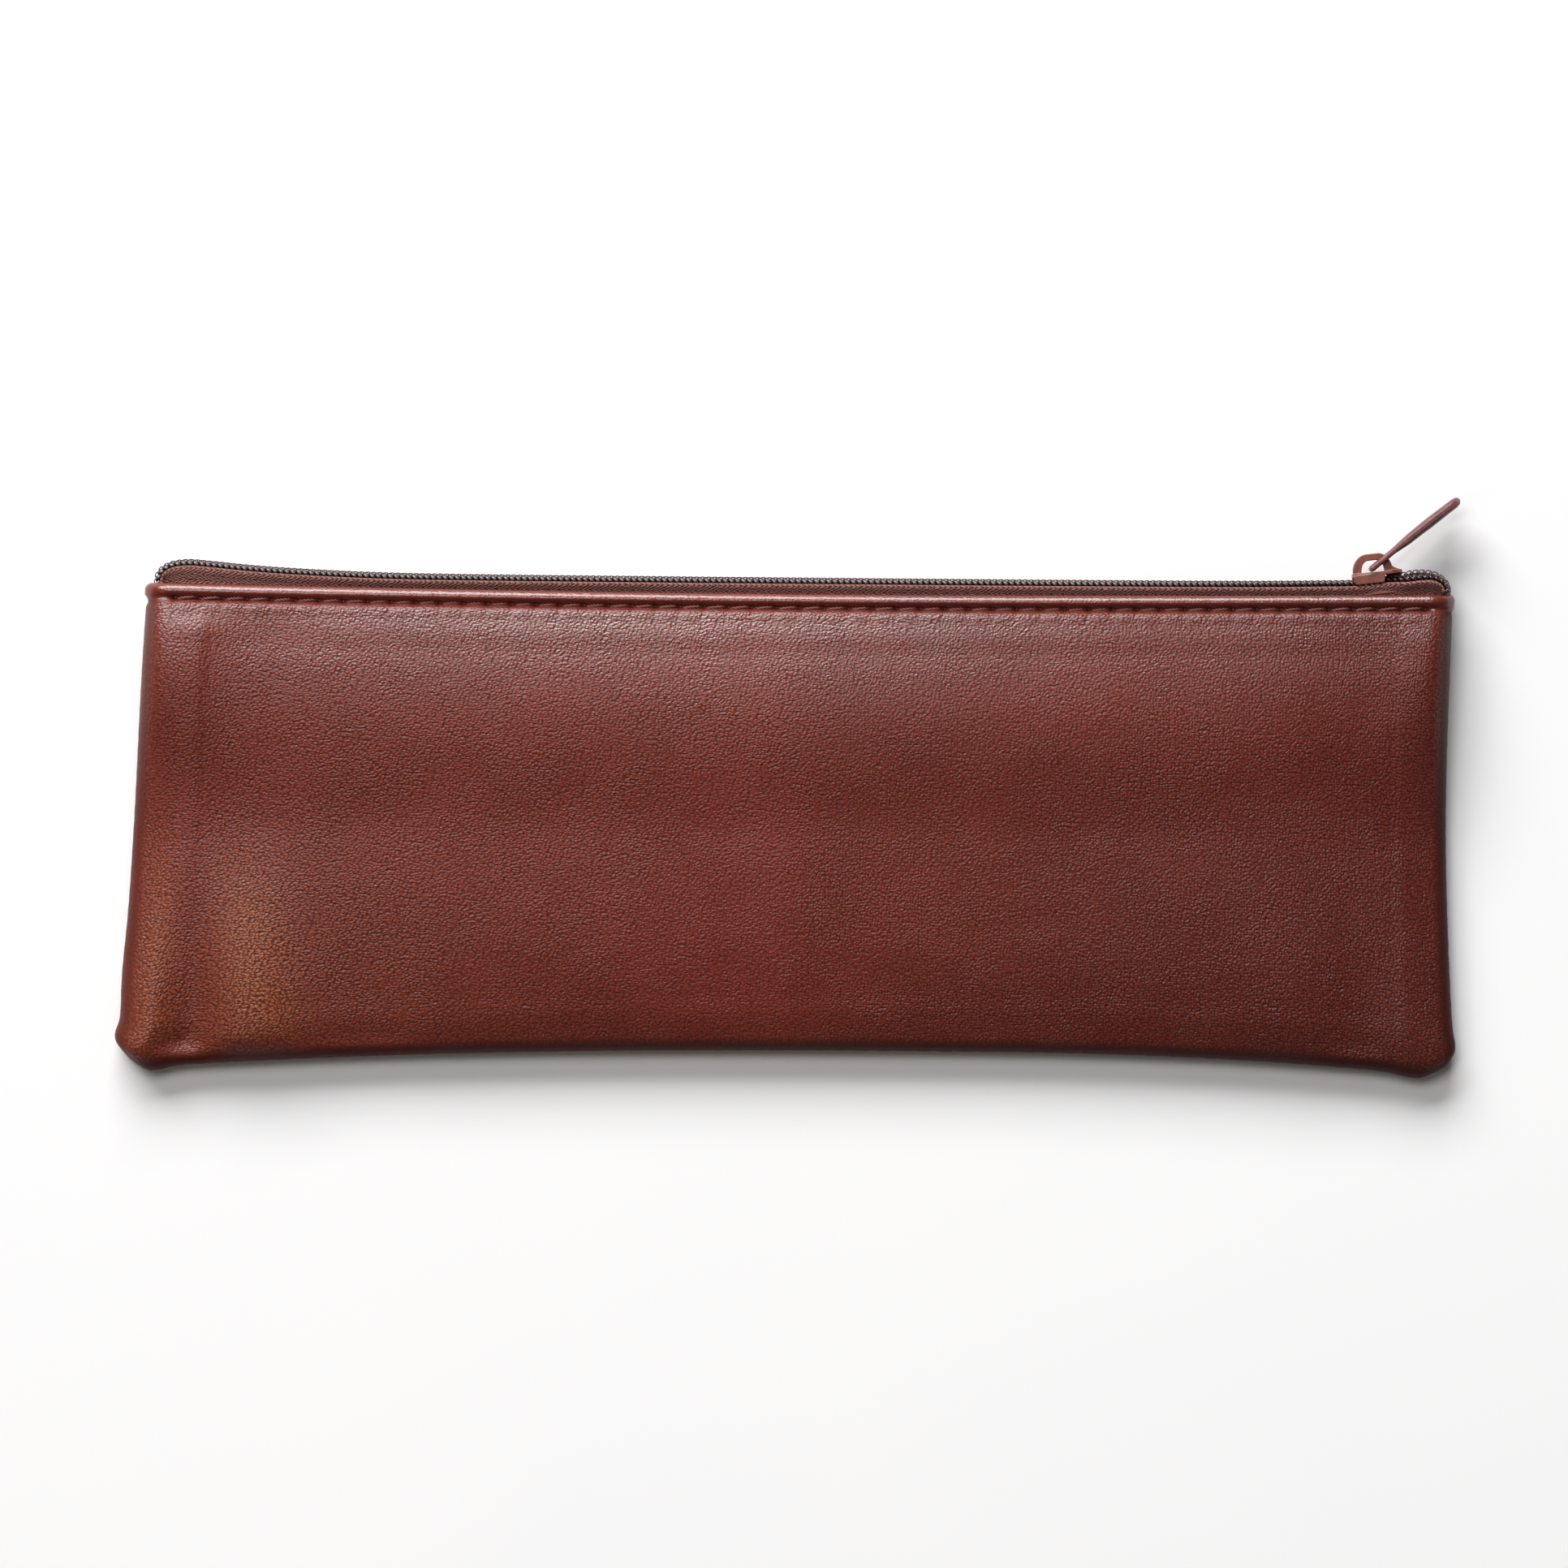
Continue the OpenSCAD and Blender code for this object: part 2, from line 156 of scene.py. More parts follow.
def tube(P, r, sides=8, ref=(0, 0, 1), cap=True, squash=1.0):
    """Vertices and faces of a tube along P; r is a number or one radius for each point."""
    P = np.asarray(P, float)
    n = len(P)
    T = np.gradient(P, axis=0)
    T /= np.linalg.norm(T, axis=1)[:, None] + 1e-12
    ref = np.asarray(ref, float)
    N = np.zeros_like(P)
    v = ref - (T[0] @ ref) * T[0]
    if np.linalg.norm(v) < 1e-3:
        v = np.array([1.0, 0.3, 0.1]) - (T[0] @ np.array([1.0, 0.3, 0.1])) * T[0]
    v /= np.linalg.norm(v)
    for i in range(n):
        v = v - (T[i] @ v) * T[i]
        v /= np.linalg.norm(v) + 1e-12
        N[i] = v
    B = np.cross(T, N)
    r = np.broadcast_to(np.asarray(r, float), (n,))
    a = np.arange(sides) * 2 * math.pi / sides
    V = P[:, None, :] + r[:, None, None] * (np.cos(a)[None, :, None] * N[:, None, :] * squash + np.sin(a)[None, :, None] * B[:, None, :])
    V = V.reshape(-1, 3)
    F = grid_faces(n, sides, wrap_m=True)
    F = F[:, ::-1]
    if cap:
        V = np.vstack([V, P[0] - T[0] * r[0] * 0.5, P[-1] + T[-1] * r[-1] * 0.5])
        a0, a1 = n * sides, n * sides + 1
        j = np.arange(sides)
        k = (j + 1) % sides
        c0 = np.stack([j, k, np.full(sides, a0), np.full(sides, a0)], 1)
        c1 = np.stack([(n - 1) * sides + k, (n - 1) * sides + j, np.full(sides, a1), np.full(sides, a1)], 1)
        return V, F, c0[:, :3], c1[:, :3]
    return V, F, None, None


def tubes_object(name, paths, radii, sides=8, ref=(0, 0, 1)):
    """Many tubes in one mesh."""
    VV, QQ, TT = [], [], []
    off = 0
    for k, P in enumerate(paths):
        r = radii[k] if isinstance(radii, (list, tuple)) else radii
        V, F, c0, c1 = tube(P, r, sides, ref)
        VV.append(V)
        QQ.append(F + off)
        TT.append(c0 + off)
        TT.append(c1 + off)
        off += len(V)
    V = np.vstack(VV)
    faces = [tuple(f) for f in np.vstack(QQ).tolist()] + [tuple(f) for f in np.vstack(TT).tolist()]
    return mesh_from(name, V, faces)


def hermite(points, x):
    """Smooth curve y(x) through points [(x, y)], monotone where the points are."""
    p = np.asarray(points, float)
    X, Y = p[:, 0], p[:, 1]
    h = np.diff(X)
    d = np.diff(Y) / h
    m = np.zeros(len(X))
    m[0], m[-1] = d[0], d[-1]
    for i in range(1, len(X) - 1):
        m[i] = 0 if d[i - 1] * d[i] <= 0 else 2 * d[i - 1] * d[i] / (d[i - 1] + d[i])
    x = np.clip(np.asarray(x, float), X[0], X[-1])
    k = np.clip(np.searchsorted(X, x, side="right") - 1, 0, len(h) - 1)
    t = (x - X[k]) / h[k]
    return (Y[k] * (2 * t**3 - 3 * t**2 + 1) + m[k] * h[k] * (t**3 - 2 * t**2 + t)
            + Y[k + 1] * (3 * t**2 - 2 * t**3) + m[k + 1] * h[k] * (t**3 - t**2))


def catmull(points, step):
    """Points at an even step along a smooth curve through the given points."""
    p = np.asarray(points, float)
    p = np.vstack([2 * p[0] - p[1], p, 2 * p[-1] - p[-2]])
    out = []
    for i in range(1, len(p) - 2):
        d = [max(np.linalg.norm(p[i + k] - p[i + k - 1]), 1e-9) ** 0.5 for k in (0, 1, 2)]
        t = np.linspace(0, 1, 40, endpoint=False)[:, None]
        t0, t1 = 0.0, d[0]
        t2 = t1 + d[1]
        t3 = t2 + d[2]
        tt = t1 + t * (t2 - t1)
        A1 = (t1 - tt) / (t1 - t0) * p[i - 1] + (tt - t0) / (t1 - t0) * p[i]
        A2 = (t2 - tt) / (t2 - t1) * p[i] + (tt - t1) / (t2 - t1) * p[i + 1]
        A3 = (t3 - tt) / (t3 - t2) * p[i + 1] + (tt - t2) / (t3 - t2) * p[i + 2]
        B1 = (t2 - tt) / (t2 - t0) * A1 + (tt - t0) / (t2 - t0) * A2
        B2 = (t3 - tt) / (t3 - t1) * A2 + (tt - t1) / (t3 - t1) * A3
        out.append((t2 - tt) / (t2 - t1) * B1 + (tt - t1) / (t2 - t1) * B2)
    out.append(p[-2][None, :])
    q = np.vstack(out)
    s = np.concatenate([[0], np.cumsum(np.linalg.norm(np.diff(q, axis=0), axis=1))])
    n = max(2, int(round(s[-1] / step)) + 1)
    u = np.linspace(0, s[-1], n)
    return np.stack([np.interp(u, s, q[:, k]) for k in range(q.shape[1])], 1)


# ------------------------------------------------------------------ the pouch's sizes, as in its CAD

MID = 5.4            # middle of the zip
LIP_HALF = 5.25      # from there to the outside of each turned edge
SEAM = 2.6
CROWN = 6.7
T_LEATHER = 0.9
TURN_W = 8.4
LIP_DROP = 1.45      # the front's turned edge is drawn in this much towards the zip
WIDE, HIGH = 215.0, 77.6
CL, CR = (-107.9, -41.2), (108.7, -40.8)
BULGE = 0.85


def corner_cut(e):
    return np.maximum(0.0, 1 - e / 2.8) ** 1.6


def corner_out(e):
    return BULGE * (np.exp(-(((e - 3.4) / 2.1) ** 2)) - 0.0727 * corner_cut(e))


def side_l(y):
    return -105.6 - 3.6 * (34 - y) / 67


def side_r(y):
    return 108.3 + 1.4 * ((y - 8) / 41) ** 2


def low_y(x):
    x = np.asarray(x, float)
    a = -39.2 - 2.8 * (np.maximum(30 - x, 0) / 120) ** 2.6
    b = -39.2 - 2.52 * (np.maximum(x - 30, 0) / 68) ** 2.3
    return np.where(x < 30, a, b)


def lip_y(x):
    return 35.7 + 0.9 * (np.asarray(x, float) / 105) ** 2


def edge_l(y):
    e = y - CL[1]
    return side_l(y) - corner_out(e) + (CL[0] - side_l(CL[1])) * corner_cut(e)


def edge_r(y):
    e = y - CR[1]
    return side_r(y) + 0.35 * corner_out(e) + (CR[0] - side_r(CR[1])) * corner_cut(e)


def edge_low(x):
    e = (x - CL[0]) / 1.25
    f = (CR[0] - x) / 1.6
    return (low_y(x) - 0.65 * corner_out(e) - 0.7 * corner_out(f)
            + (CL[1] - low_y(CL[0])) * corner_cut(e) + (CR[1] - low_y(CR[0])) * corner_cut(f))


TOP_L = side_l(lip_y(-105.5))
TOP_R = side_r(lip_y(109))


def plan(s, t):
    """Point in plan, in millimetres, from its shares across and up."""
    lx = mix(CL[0], CR[0], s)
    low = (lx, edge_low(lx))
    tx = mix(TOP_L, TOP_R, s)
    top = (tx, lip_y(tx))
    ly = mix(CL[1], lip_y(TOP_L), t)
    left = (edge_l(ly), ly)
    ry = mix(CR[1], lip_y(TOP_R), t)
    right = (edge_r(ry), ry)
    c00 = (CL[0], edge_low(CL[0]))
    c10 = (CR[0], edge_low(CR[0]))
    c01 = (TOP_L, lip_y(TOP_L))
    c11 = (TOP_R, lip_y(TOP_R))
    out = []
    for k in (0, 1):
        out.append((1 - t) * low[k] + t * top[k] + (1 - s) * left[k] + s * right[k]
                   - (1 - s) * (1 - t) * c00[k] - s * (1 - t) * c10[k] - (1 - s) * t * c01[k] - s * t * c11[k])
    return out[0], out[1]


def from_side(s):
    return np.minimum(s, 1 - s) * WIDE


def from_low(t):
    return t * HIGH


def inset(s, t):
    a, b = from_side(s), from_low(t)
    return a + b - np.sqrt(a * a + b * b)


def up(t):
    return smooth((from_low(t) - 36) / 32)


def seam(t):
    return mix(SEAM, MID, up(t))


# ------------------------------------------------------------------ stitches

PITCH = 3.94
N_ST = 52
INSET_ST = 2.35                # the row's distance below the top of the turned edge
X_MID = (TOP_L + TOP_R) / 2
HOLES = X_MID + (np.arange(N_ST + 1) - N_ST / 2) * PITCH


def hole_dips(x, e):
    """Depth of the small pits where the thread goes in, and of the row's own groove."""
    k = np.round((x - HOLES[0]) / PITCH)
    k = np.clip(k, 0, N_ST)
    dx = x - (HOLES[0] + k * PITCH)
    de = e - INSET_ST
    pit = np.exp(-((dx + 0.45 * de) / 0.58) ** 2 - (de / 0.40) ** 2)
    on = smooth((x - HOLES[0] + 1.5) / 1.2) * smooth((HOLES[-1] + 1.5 - x) / 1.2)
    row = gauss(e, INSET_ST, 0.46) * (0.35 + 0.65 * on)
    pull = gauss(dx, 0, 0.9)
    puff = gauss(e, INSET_ST + 1.35, 0.95) * 0.22 * (0.3 + 0.7 * on) * (1 - 0.45 * pull) + gauss(e, INSET_ST - 1.10, 0.66) * 0.30 * (1 - 0.10 * pull * on)
    return pit * on, row, pull, puff


# ------------------------------------------------------------------ leather shells


def front_height(s, t, x, y):
    """Outside of the front panel, before its top edge turns over."""
    d = inset(s, t)
    u = up(t)
    a, b = from_side(s), from_low(t)
    z = seam(t) + mix(2.1, LIP_HALF, u) * quarter(d / mix(2.1, 4.0, u))
    z = z + (CROWN * (1 - u) + 4 * u * (1 - u)) * (1 - np.exp(-d / 18))
    e = HIGH - b
    grow = smooth(d / 6)
    z = z - LIP_DROP * np.exp(-np.maximum(e - 2.3, 0) / 4.2) * quarter(d / 4.0) + (0.35 + 0.30 * gauss(x, -8, 62)) * gauss(e, 16, 9) * grow
    left = s < 0.5
    aL = s * WIDE
    aR = (1 - s) * WIDE
    # the seam allowance inside shows as a soft step along each side and the bottom
    below = smooth((e - 3.2) / 5.0)
    z = z + grow * below * (0.20 * smooth((11.6 - aL) / 2.2) + 0.16 * smooth((9.6 - aR) / 2.4))
    z = z + below * smooth((b - 18) / 22) * (0.38 * gauss(aL, 9.0, 4.0) - 0.42 * gauss(aL, 20.0, 7.0))
    z = z - below * smooth((b - 10) / 22) * 0.25 * gauss(aR, 17.0, 7.0)
    z = z + 0.10 * grow * smooth((9.4 - b) / 3.0)
    # folds at the lower left, where the stacked corner holds the leather up
    fold = smooth((34 - b) / 30) * smooth(b / 4)
    z = z + fold * (0.85 * gauss(aL, 4.6, 2.4) - 1.50 * gauss(aL + 0.04 * b, 11.6, 4.2) + 0.90 * gauss(aL + 0.12 * b, 22.5, 6.0)
                    - 0.45 * gauss(aL + 0.3 * b, 42, 8))
    # gentler ones at the lower right
    z = z + fold * (0.25 * gauss(aR, 7, 3.4) - 0.35 * gauss(aR + 0.12 * b, 17, 5) + 0.2 * gauss(aR + 0.2 * b, 28, 7))
    # slack of the whole face
    z = z + grow * 0.22 * wave(x, y, 3.0, 95.0) + grow * 0.07 * wave(x, y, 7.0, 38.0) + grow * 0.012 * wave(x, y, 11.0, 14.0)
    # hollow just inside the upper corners, where the tape pulls the turned edge in
    z = z - 0.35 * smooth(a / 4) * gauss(a, 11, 6) * gauss(e, 15, 8)
    # turned edge: the row of stitches pulls a groove, the edge rounds over above it
    pit, row, pull, puff = hole_dips(x, e)
    ends = smooth(a / 2.5)
    z = z - ends * (0.56 * row * (0.8 + 0.2 * pull) + 0.52 * pit) + puff * ends
    z = z - 0.10 * gauss(e, 9.9, 1.8) * smooth(a / 12)
    return z


def back_height(s, t, x, y):
    """Outside of the back panel; the pouch lies on it."""
    d = inset(s, t)
    u = up(t)
    e = HIGH - from_low(t)
    floor_z = 0.02 + 0.13 * smooth((from_low(t) - 66) / 4)
    z = seam(t) - (seam(t) - floor_z) * quarter(d / 4.2)
    grow = smooth(d / 7)
    soft = 0.05 * (1 + wave(x, y, 5.0, 60.0)) * smooth((d - 14) / 20) * (1 - smooth((from_low(t) - 50) / 12))
    aL, aR = s * WIDE, (1 - s) * WIDE
    z = z + grow * 0.12 * (smooth((aL - 9.5) / 2) * smooth((aR - 9.5) / 2) * smooth((from_low(t) - 8.5) / 2)) * (1 - smooth((from_low(t) - 60) / 8)) + soft
    pit, row, pull, puff = hole_dips(x, e)
    z = z + 0.30 * row * (0.75 + 0.25 * pull) + 0.50 * pit - np.minimum(puff, 0.09)
    return z


def spread(a, b, n, power=1.0):
    return [a + (b - a) * ((k + 1) / n) ** power for k in range(n)]


def panel_columns():
    """Distances in from the left side, dense at both sides, and lined up with the stitches between."""
    edge = [0, 0.004, 0.02, 0.06, 0.13, 0.22, 0.34, 0.5, 0.7, 0.95, 1.25, 1.6, 2.0, 2.45, 2.95, 3.5]
    cuts = np.array([-0.55, -0.35, -0.18, 0.0, 0.18, 0.35, 0.55, 0.9, 1.45, 2.05, 2.65, 3.1])
    xs = []
    for k in range(N_ST + 1):
        xs.extend((HOLES[k] + cuts).tolist())
    xs = [x for x in xs if x < HOLES[-1] + 0.6]
    s_mid = [(x - TOP_L) / (TOP_R - TOP_L) for x in xs]
    s_edge = [d / WIDE for d in edge]
    lo = np.arange(edge[-1] + 0.55, s_mid[0] * WIDE - 0.3, 0.55) / WIDE
    hi = 1 - np.arange(edge[-1] + 0.55, (1 - s_mid[-1]) * WIDE - 0.3, 0.55)[::-1] / WIDE
    s = np.concatenate([s_edge, lo, s_mid, hi, 1 - np.array(s_edge)[::-1]])
    return np.unique(np.round(s, 7))


def panel_rows():
    low = [0, 0.004, 0.02, 0.06, 0.13, 0.22, 0.34, 0.5, 0.7, 0.95, 1.25, 1.6, 2.0, 2.45, 2.95, 3.5]
    body = list(np.arange(4.1, HIGH - 7.2, 0.62))
    e = [7.0, 6.5, 6.0, 5.5, 5.05, 4.65, 4.3, 4.0, 3.7, 3.45, 3.2, 3.0, 2.82, 2.66, 2.52, 2.4, 2.28, 2.16, 2.02, 1.86, 1.68,
         1.48, 1.26, 1.04, 0.88, 0.74, 0.6, 0.46, 0.34, 0.23, 0.14, 0.07, 0.02, 0.0]
    return np.array(low + body + [HIGH - v for v in e]) / HIGH


R_FOLD = 0.86


def shell(name, front):
    """One leather panel as a closed shell: outside, over the turned edge, and back down inside."""
    S = panel_columns()
    Tt = panel_rows()
    sgn = 1.0 if front else -1.0
    height = front_height if front else back_height

    def place(s, t):
        x, y = plan(s, t)
        return x, y

    s, t = np.meshgrid(S, Tt, indexing="ij")
    x, y = place(s, t)
    z = height(s, t, x, y)
    sm = seam(t)
    e = HIGH - from_low(t)
    # the sewn edge tucks in where the two panels meet
    hgt = np.abs(z - sm)
    tuck = 0.5 * np.exp(-hgt / 0.33)
    seam_pucker = 0.035 * np.sin(2 * math.pi * y / 3.3) * np.exp(-hgt / 0.9)
    pucker_low = 0.03 * np.sin(2 * math.pi * x / 3.4) * np.exp(-hgt / 0.9)
    wl = np.exp(-(s * WIDE) / 1.6)
    wr = np.exp(-((1 - s) * WIDE) / 1.6)
    wb = np.exp(-from_low(t) / 1.6)
    x = x + (tuck + seam_pucker) * (wl - wr) + 0.22 * wr
    y = y + (tuck + pucker_low) * wb - (0.22 + 0.30 * np.exp(-s * WIDE / 4.0)) * wb
    x = x - (0.12 + 0.42 * gauss(from_low(t), 13, 8)) * wl
    # the ends of the turned edge: rounded corners, and a nick at the left under the stitching
    near_l, near_r = np.exp(-(s * WIDE) / 2.2), np.exp(-((1 - s) * WIDE) / 2.2)
    lip_end = -0.35 * smooth((2.6 - e) / 0.8)
    nick = 0.30 * gauss(e, 3.1, 0.55)
    rc = 1.15
    rounding = rc * (1 - np.sqrt(np.maximum(0, 1 - np.clip(1 - e / rc, 0, 1) ** 2)))
    x = x + (lip_end + nick + rounding) * near_l + (0.30 * smooth((3.0 - e) / 0.9) - 0.10 * gauss(e, 3.1, 0.4) - 0.7 * rounding) * near_r
    # turned edge
    q = np.clip(1 - e / R_FOLD, 0, 1)
    drop = R_FOLD * (1 - np.sqrt(np.maximum(0, 1 - q * q)))
    # the turn can't be thicker than the panel stands above the seam
    room = np.maximum(np.abs(z - sm), 1e-4)
    share = np.minimum(1.0, room / (2 * R_FOLD))
    outer_z = z - sgn * drop * share
    # inside: turned-in strip, then the back of the leather
    e_in = np.array([0.02, 0.07, 0.14, 0.23, 0.34, 0.46, 0.6, 0.74, 0.92, 1.4, 2.4, 3.6, 5.0, 6.6, 8.2, 8.4, 8.42])
    t_in = 1 - e_in / HIGH
    s2, t2 = np.meshgrid(S, t_in, indexing="ij")
    x2, y2 = place(s2, t2)
    z2 = height(s2, t2, x2, y2)
    base = height(s2, np.full_like(t2, 1 - 1.0 / HIGH), x2, y2)
    ee = np.broadcast_to(e_in, t2.shape)
    z2 = mix(base, z2, smooth((ee - 4) / 4)) if front else mix(base, z2, smooth((ee - 4) / 4))
    sm2 = seam(t2)
    room2 = np.maximum(np.abs(z2 - sm2), 1e-4)
    share2 = np.minimum(1.0, room2 / (2 * R_FOLD))
    q2 = np.clip(1 - ee / R_FOLD, 0, 1)
    drop2 = R_FOLD * (1 - np.sqrt(np.maximum(0, 1 - q2 * q2)))
    inner = z2 - sgn * (2 * R_FOLD - drop2) * share2
    inner[:, -1] = (z2 - sgn * R_FOLD * share2)[:, -1]
    x2 = x2 + (lip_end[:, :1] * 0 - 0.35 * smooth((2.6 - ee) / 0.8) + rc * (1 - np.sqrt(np.maximum(0, 1 - np.clip(1 - ee / rc, 0, 1) ** 2)))) * np.exp(-(s2 * WIDE) / 2.2) \
        + (0.30 * smooth((3.0 - ee) / 0.9) - 0.7 * rc * (1 - np.sqrt(np.maximum(0, 1 - np.clip(1 - ee / rc, 0, 1) ** 2)))) * np.exp(-((1 - s2) * WIDE) / 2.2)
    # back of the leather, down to the bottom seam
    b3 = np.array([66, 60, 54, 48, 42, 36, 30, 24, 18, 13, 9, 6.5, 4.5, 3.2, 2.2, 1.5, 1.0, 0.6, 0.3, 0.1])
    t3 = b3 / HIGH
    s3, t3 = np.meshgrid(S, t3, indexing="ij")
    x3, y3 = place(s3, t3)
    z3 = height(s3, t3, x3, y3)
    sm3 = seam(t3)
    inner3 = z3 - sgn * T_LEATHER
    clear = 0.02
    if front:
        inner3 = np.maximum(sm3 + clear, inner3)
        inner = np.maximum(sm2 + clear, inner)
        outer_z = np.maximum(sm + clear, outer_z)
    else:
        inner3 = np.minimum(sm3 - clear, inner3)
        inner = np.minimum(sm2 - clear, inner)
        outer_z = np.minimum(sm - clear, outer_z)
    for xx, ss, tt, zz in ((x2, s2, t2, inner), (x3, s3, t3, inner3)):
        hg = np.abs(zz - seam(tt))
        tk = 0.5 * np.exp(-hg / 0.33)
        xx -= (0.12 + 0.42 * gauss(from_low(tt), 13, 8)) * np.exp(-(ss * WIDE) / 1.6)
        xx += tk * (np.exp(-(ss * WIDE) / 1.6) - np.exp(-((1 - ss) * WIDE) / 1.6)) + 0.22 * np.exp(-((1 - ss) * WIDE) / 1.6)
    y3 = y3 + (0.5 * np.exp(-np.abs(inner3 - sm3) / 0.33) - 0.22 - 0.30 * np.exp(-s3 * WIDE / 4.0)) * np.exp(-from_low(t3) / 1.6)
    X = np.concatenate([x, x2, x3], 1)
    Y = np.concatenate([y, y2, y3], 1)
    Z = np.concatenate([outer_z, inner, inner3], 1)
    n, m = X.shape
    V = np.stack([X, Y, Z], -1).reshape(-1, 3)
    F = grid_faces(n, m, wrap_m=True)
    if front:
        F = F[:, ::-1]
    # each end closes between its outer and inner edges, a step at a time
    n_out = x.shape[1]
    caps = []
    for row in (0, n - 1):
        A = [row * m + k for k in range(n_out)]
        B = [row * m + k for k in range(m - 1, n_out - 1, -1)]
        i = j = 0
        while i < len(A) - 1 or j < len(B) - 1:
            step_a = j == len(B) - 1 or (i < len(A) - 1 and V[A[i + 1], 1] <= V[B[j + 1], 1])
            caps.append((A[i], A[i + 1], B[j]) if step_a else (A[i], B[j + 1], B[j]))
            if step_a:
                i += 1
            else:
                j += 1
    faces = [tuple(f) for f in F.tolist()] + caps
    # coordinates for the grain, in millimetres along the leather itself
    G = np.stack([X, Y, Z], -1)
    j_mid = int(np.argmin(np.abs(Tt - 0.5)))
    along = np.concatenate([[0], np.cumsum(np.linalg.norm(np.diff(G[:, j_mid], axis=0), axis=1))])
    along = np.broadcast_to((along - along[n // 2])[:, None], (n, m))
    up_ = np.concatenate([[0], np.cumsum(np.linalg.norm(np.diff(G[n // 2], axis=0), axis=1))])
    up_ = np.broadcast_to(up_[None, :], (n, m))
    uv = np.stack([along, up_ + (0 if front else 400)], -1).reshape(-1, 2)
    ob = mesh_from(name, V, faces, uvs=uv)
    bm = bmesh.new()
    bm.from_mesh(ob.data)
    bmesh.ops.recalc_face_normals(bm, faces=bm.faces)
    bm.to_mesh(ob.data)
    bm.free()
    # how much of the grain is left: it is ironed flat along the sewn edges and on the turned edge
    SS = np.concatenate([s, s2, s3], 1)
    TT = np.concatenate([t, t2, t3], 1)
    e_all = HIGH - from_low(TT)
    keep = (0.12 + 0.88 * smooth((from_side(SS) - 1.0) / 1.6)) * (0.12 + 0.88 * smooth((from_low(TT) - 0.9) / 1.4)) * (0.22 + 0.78 * smooth((e_all - 2.5) / 0.9))
    at = ob.data.attributes.new("grain", "FLOAT", "POINT")
    at.data.foreach_set("value", keep.reshape(-1).astype(np.float32))
    at = ob.data.attributes.new("pressed", "FLOAT", "POINT")
    at.data.foreach_set("value", (1 - smooth((e_all - 2.3) / 0.8)).reshape(-1).astype(np.float32))
    # polished where it was rubbed down under the stitches
    rub = smooth((e_all - 2.9) / 1.3) * np.exp(-np.maximum(e_all - 5.2, 0) / 4.5) * (0.30 + 0.70 * gauss(X, -25, 62))
    at = ob.data.attributes.new("rubbed", "FLOAT", "POINT")
    at.data.foreach_set("value", rub.reshape(-1).astype(np.float32))
    # painted highlight: a paler, golden colour on the folds of the lower left corner
    aL, b = SS * WIDE, from_low(TT)
    fold_sheen = smooth((46 - b) / 34) * smooth((b - 1.6) / 4) * (0.75 * gauss(aL, 5.6, 2.8) + gauss(aL + 0.15 * b, 23.5, 6.0)
                                                            + 0.16 * smooth((95 - aL) / 60) * smooth((aL - 18) / 10))
    at = ob.data.attributes.new("painted_fold_highlight", "FLOAT", "POINT")
    at.data.foreach_set("value", fold_sheen.reshape(-1).astype(np.float32))
    return ob


# ------------------------------------------------------------------ pieces of the front half: placement baked in


def bends(ob):
    """A piece of the front half: its placement is baked into its vertices, which are read back and left as they are."""
    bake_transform(ob)
    n = len(ob.data.vertices)
    co = np.zeros(n * 3, np.float32)
    ob.data.vertices.foreach_get("co", co)
    return ob


# ------------------------------------------------------------------ materials


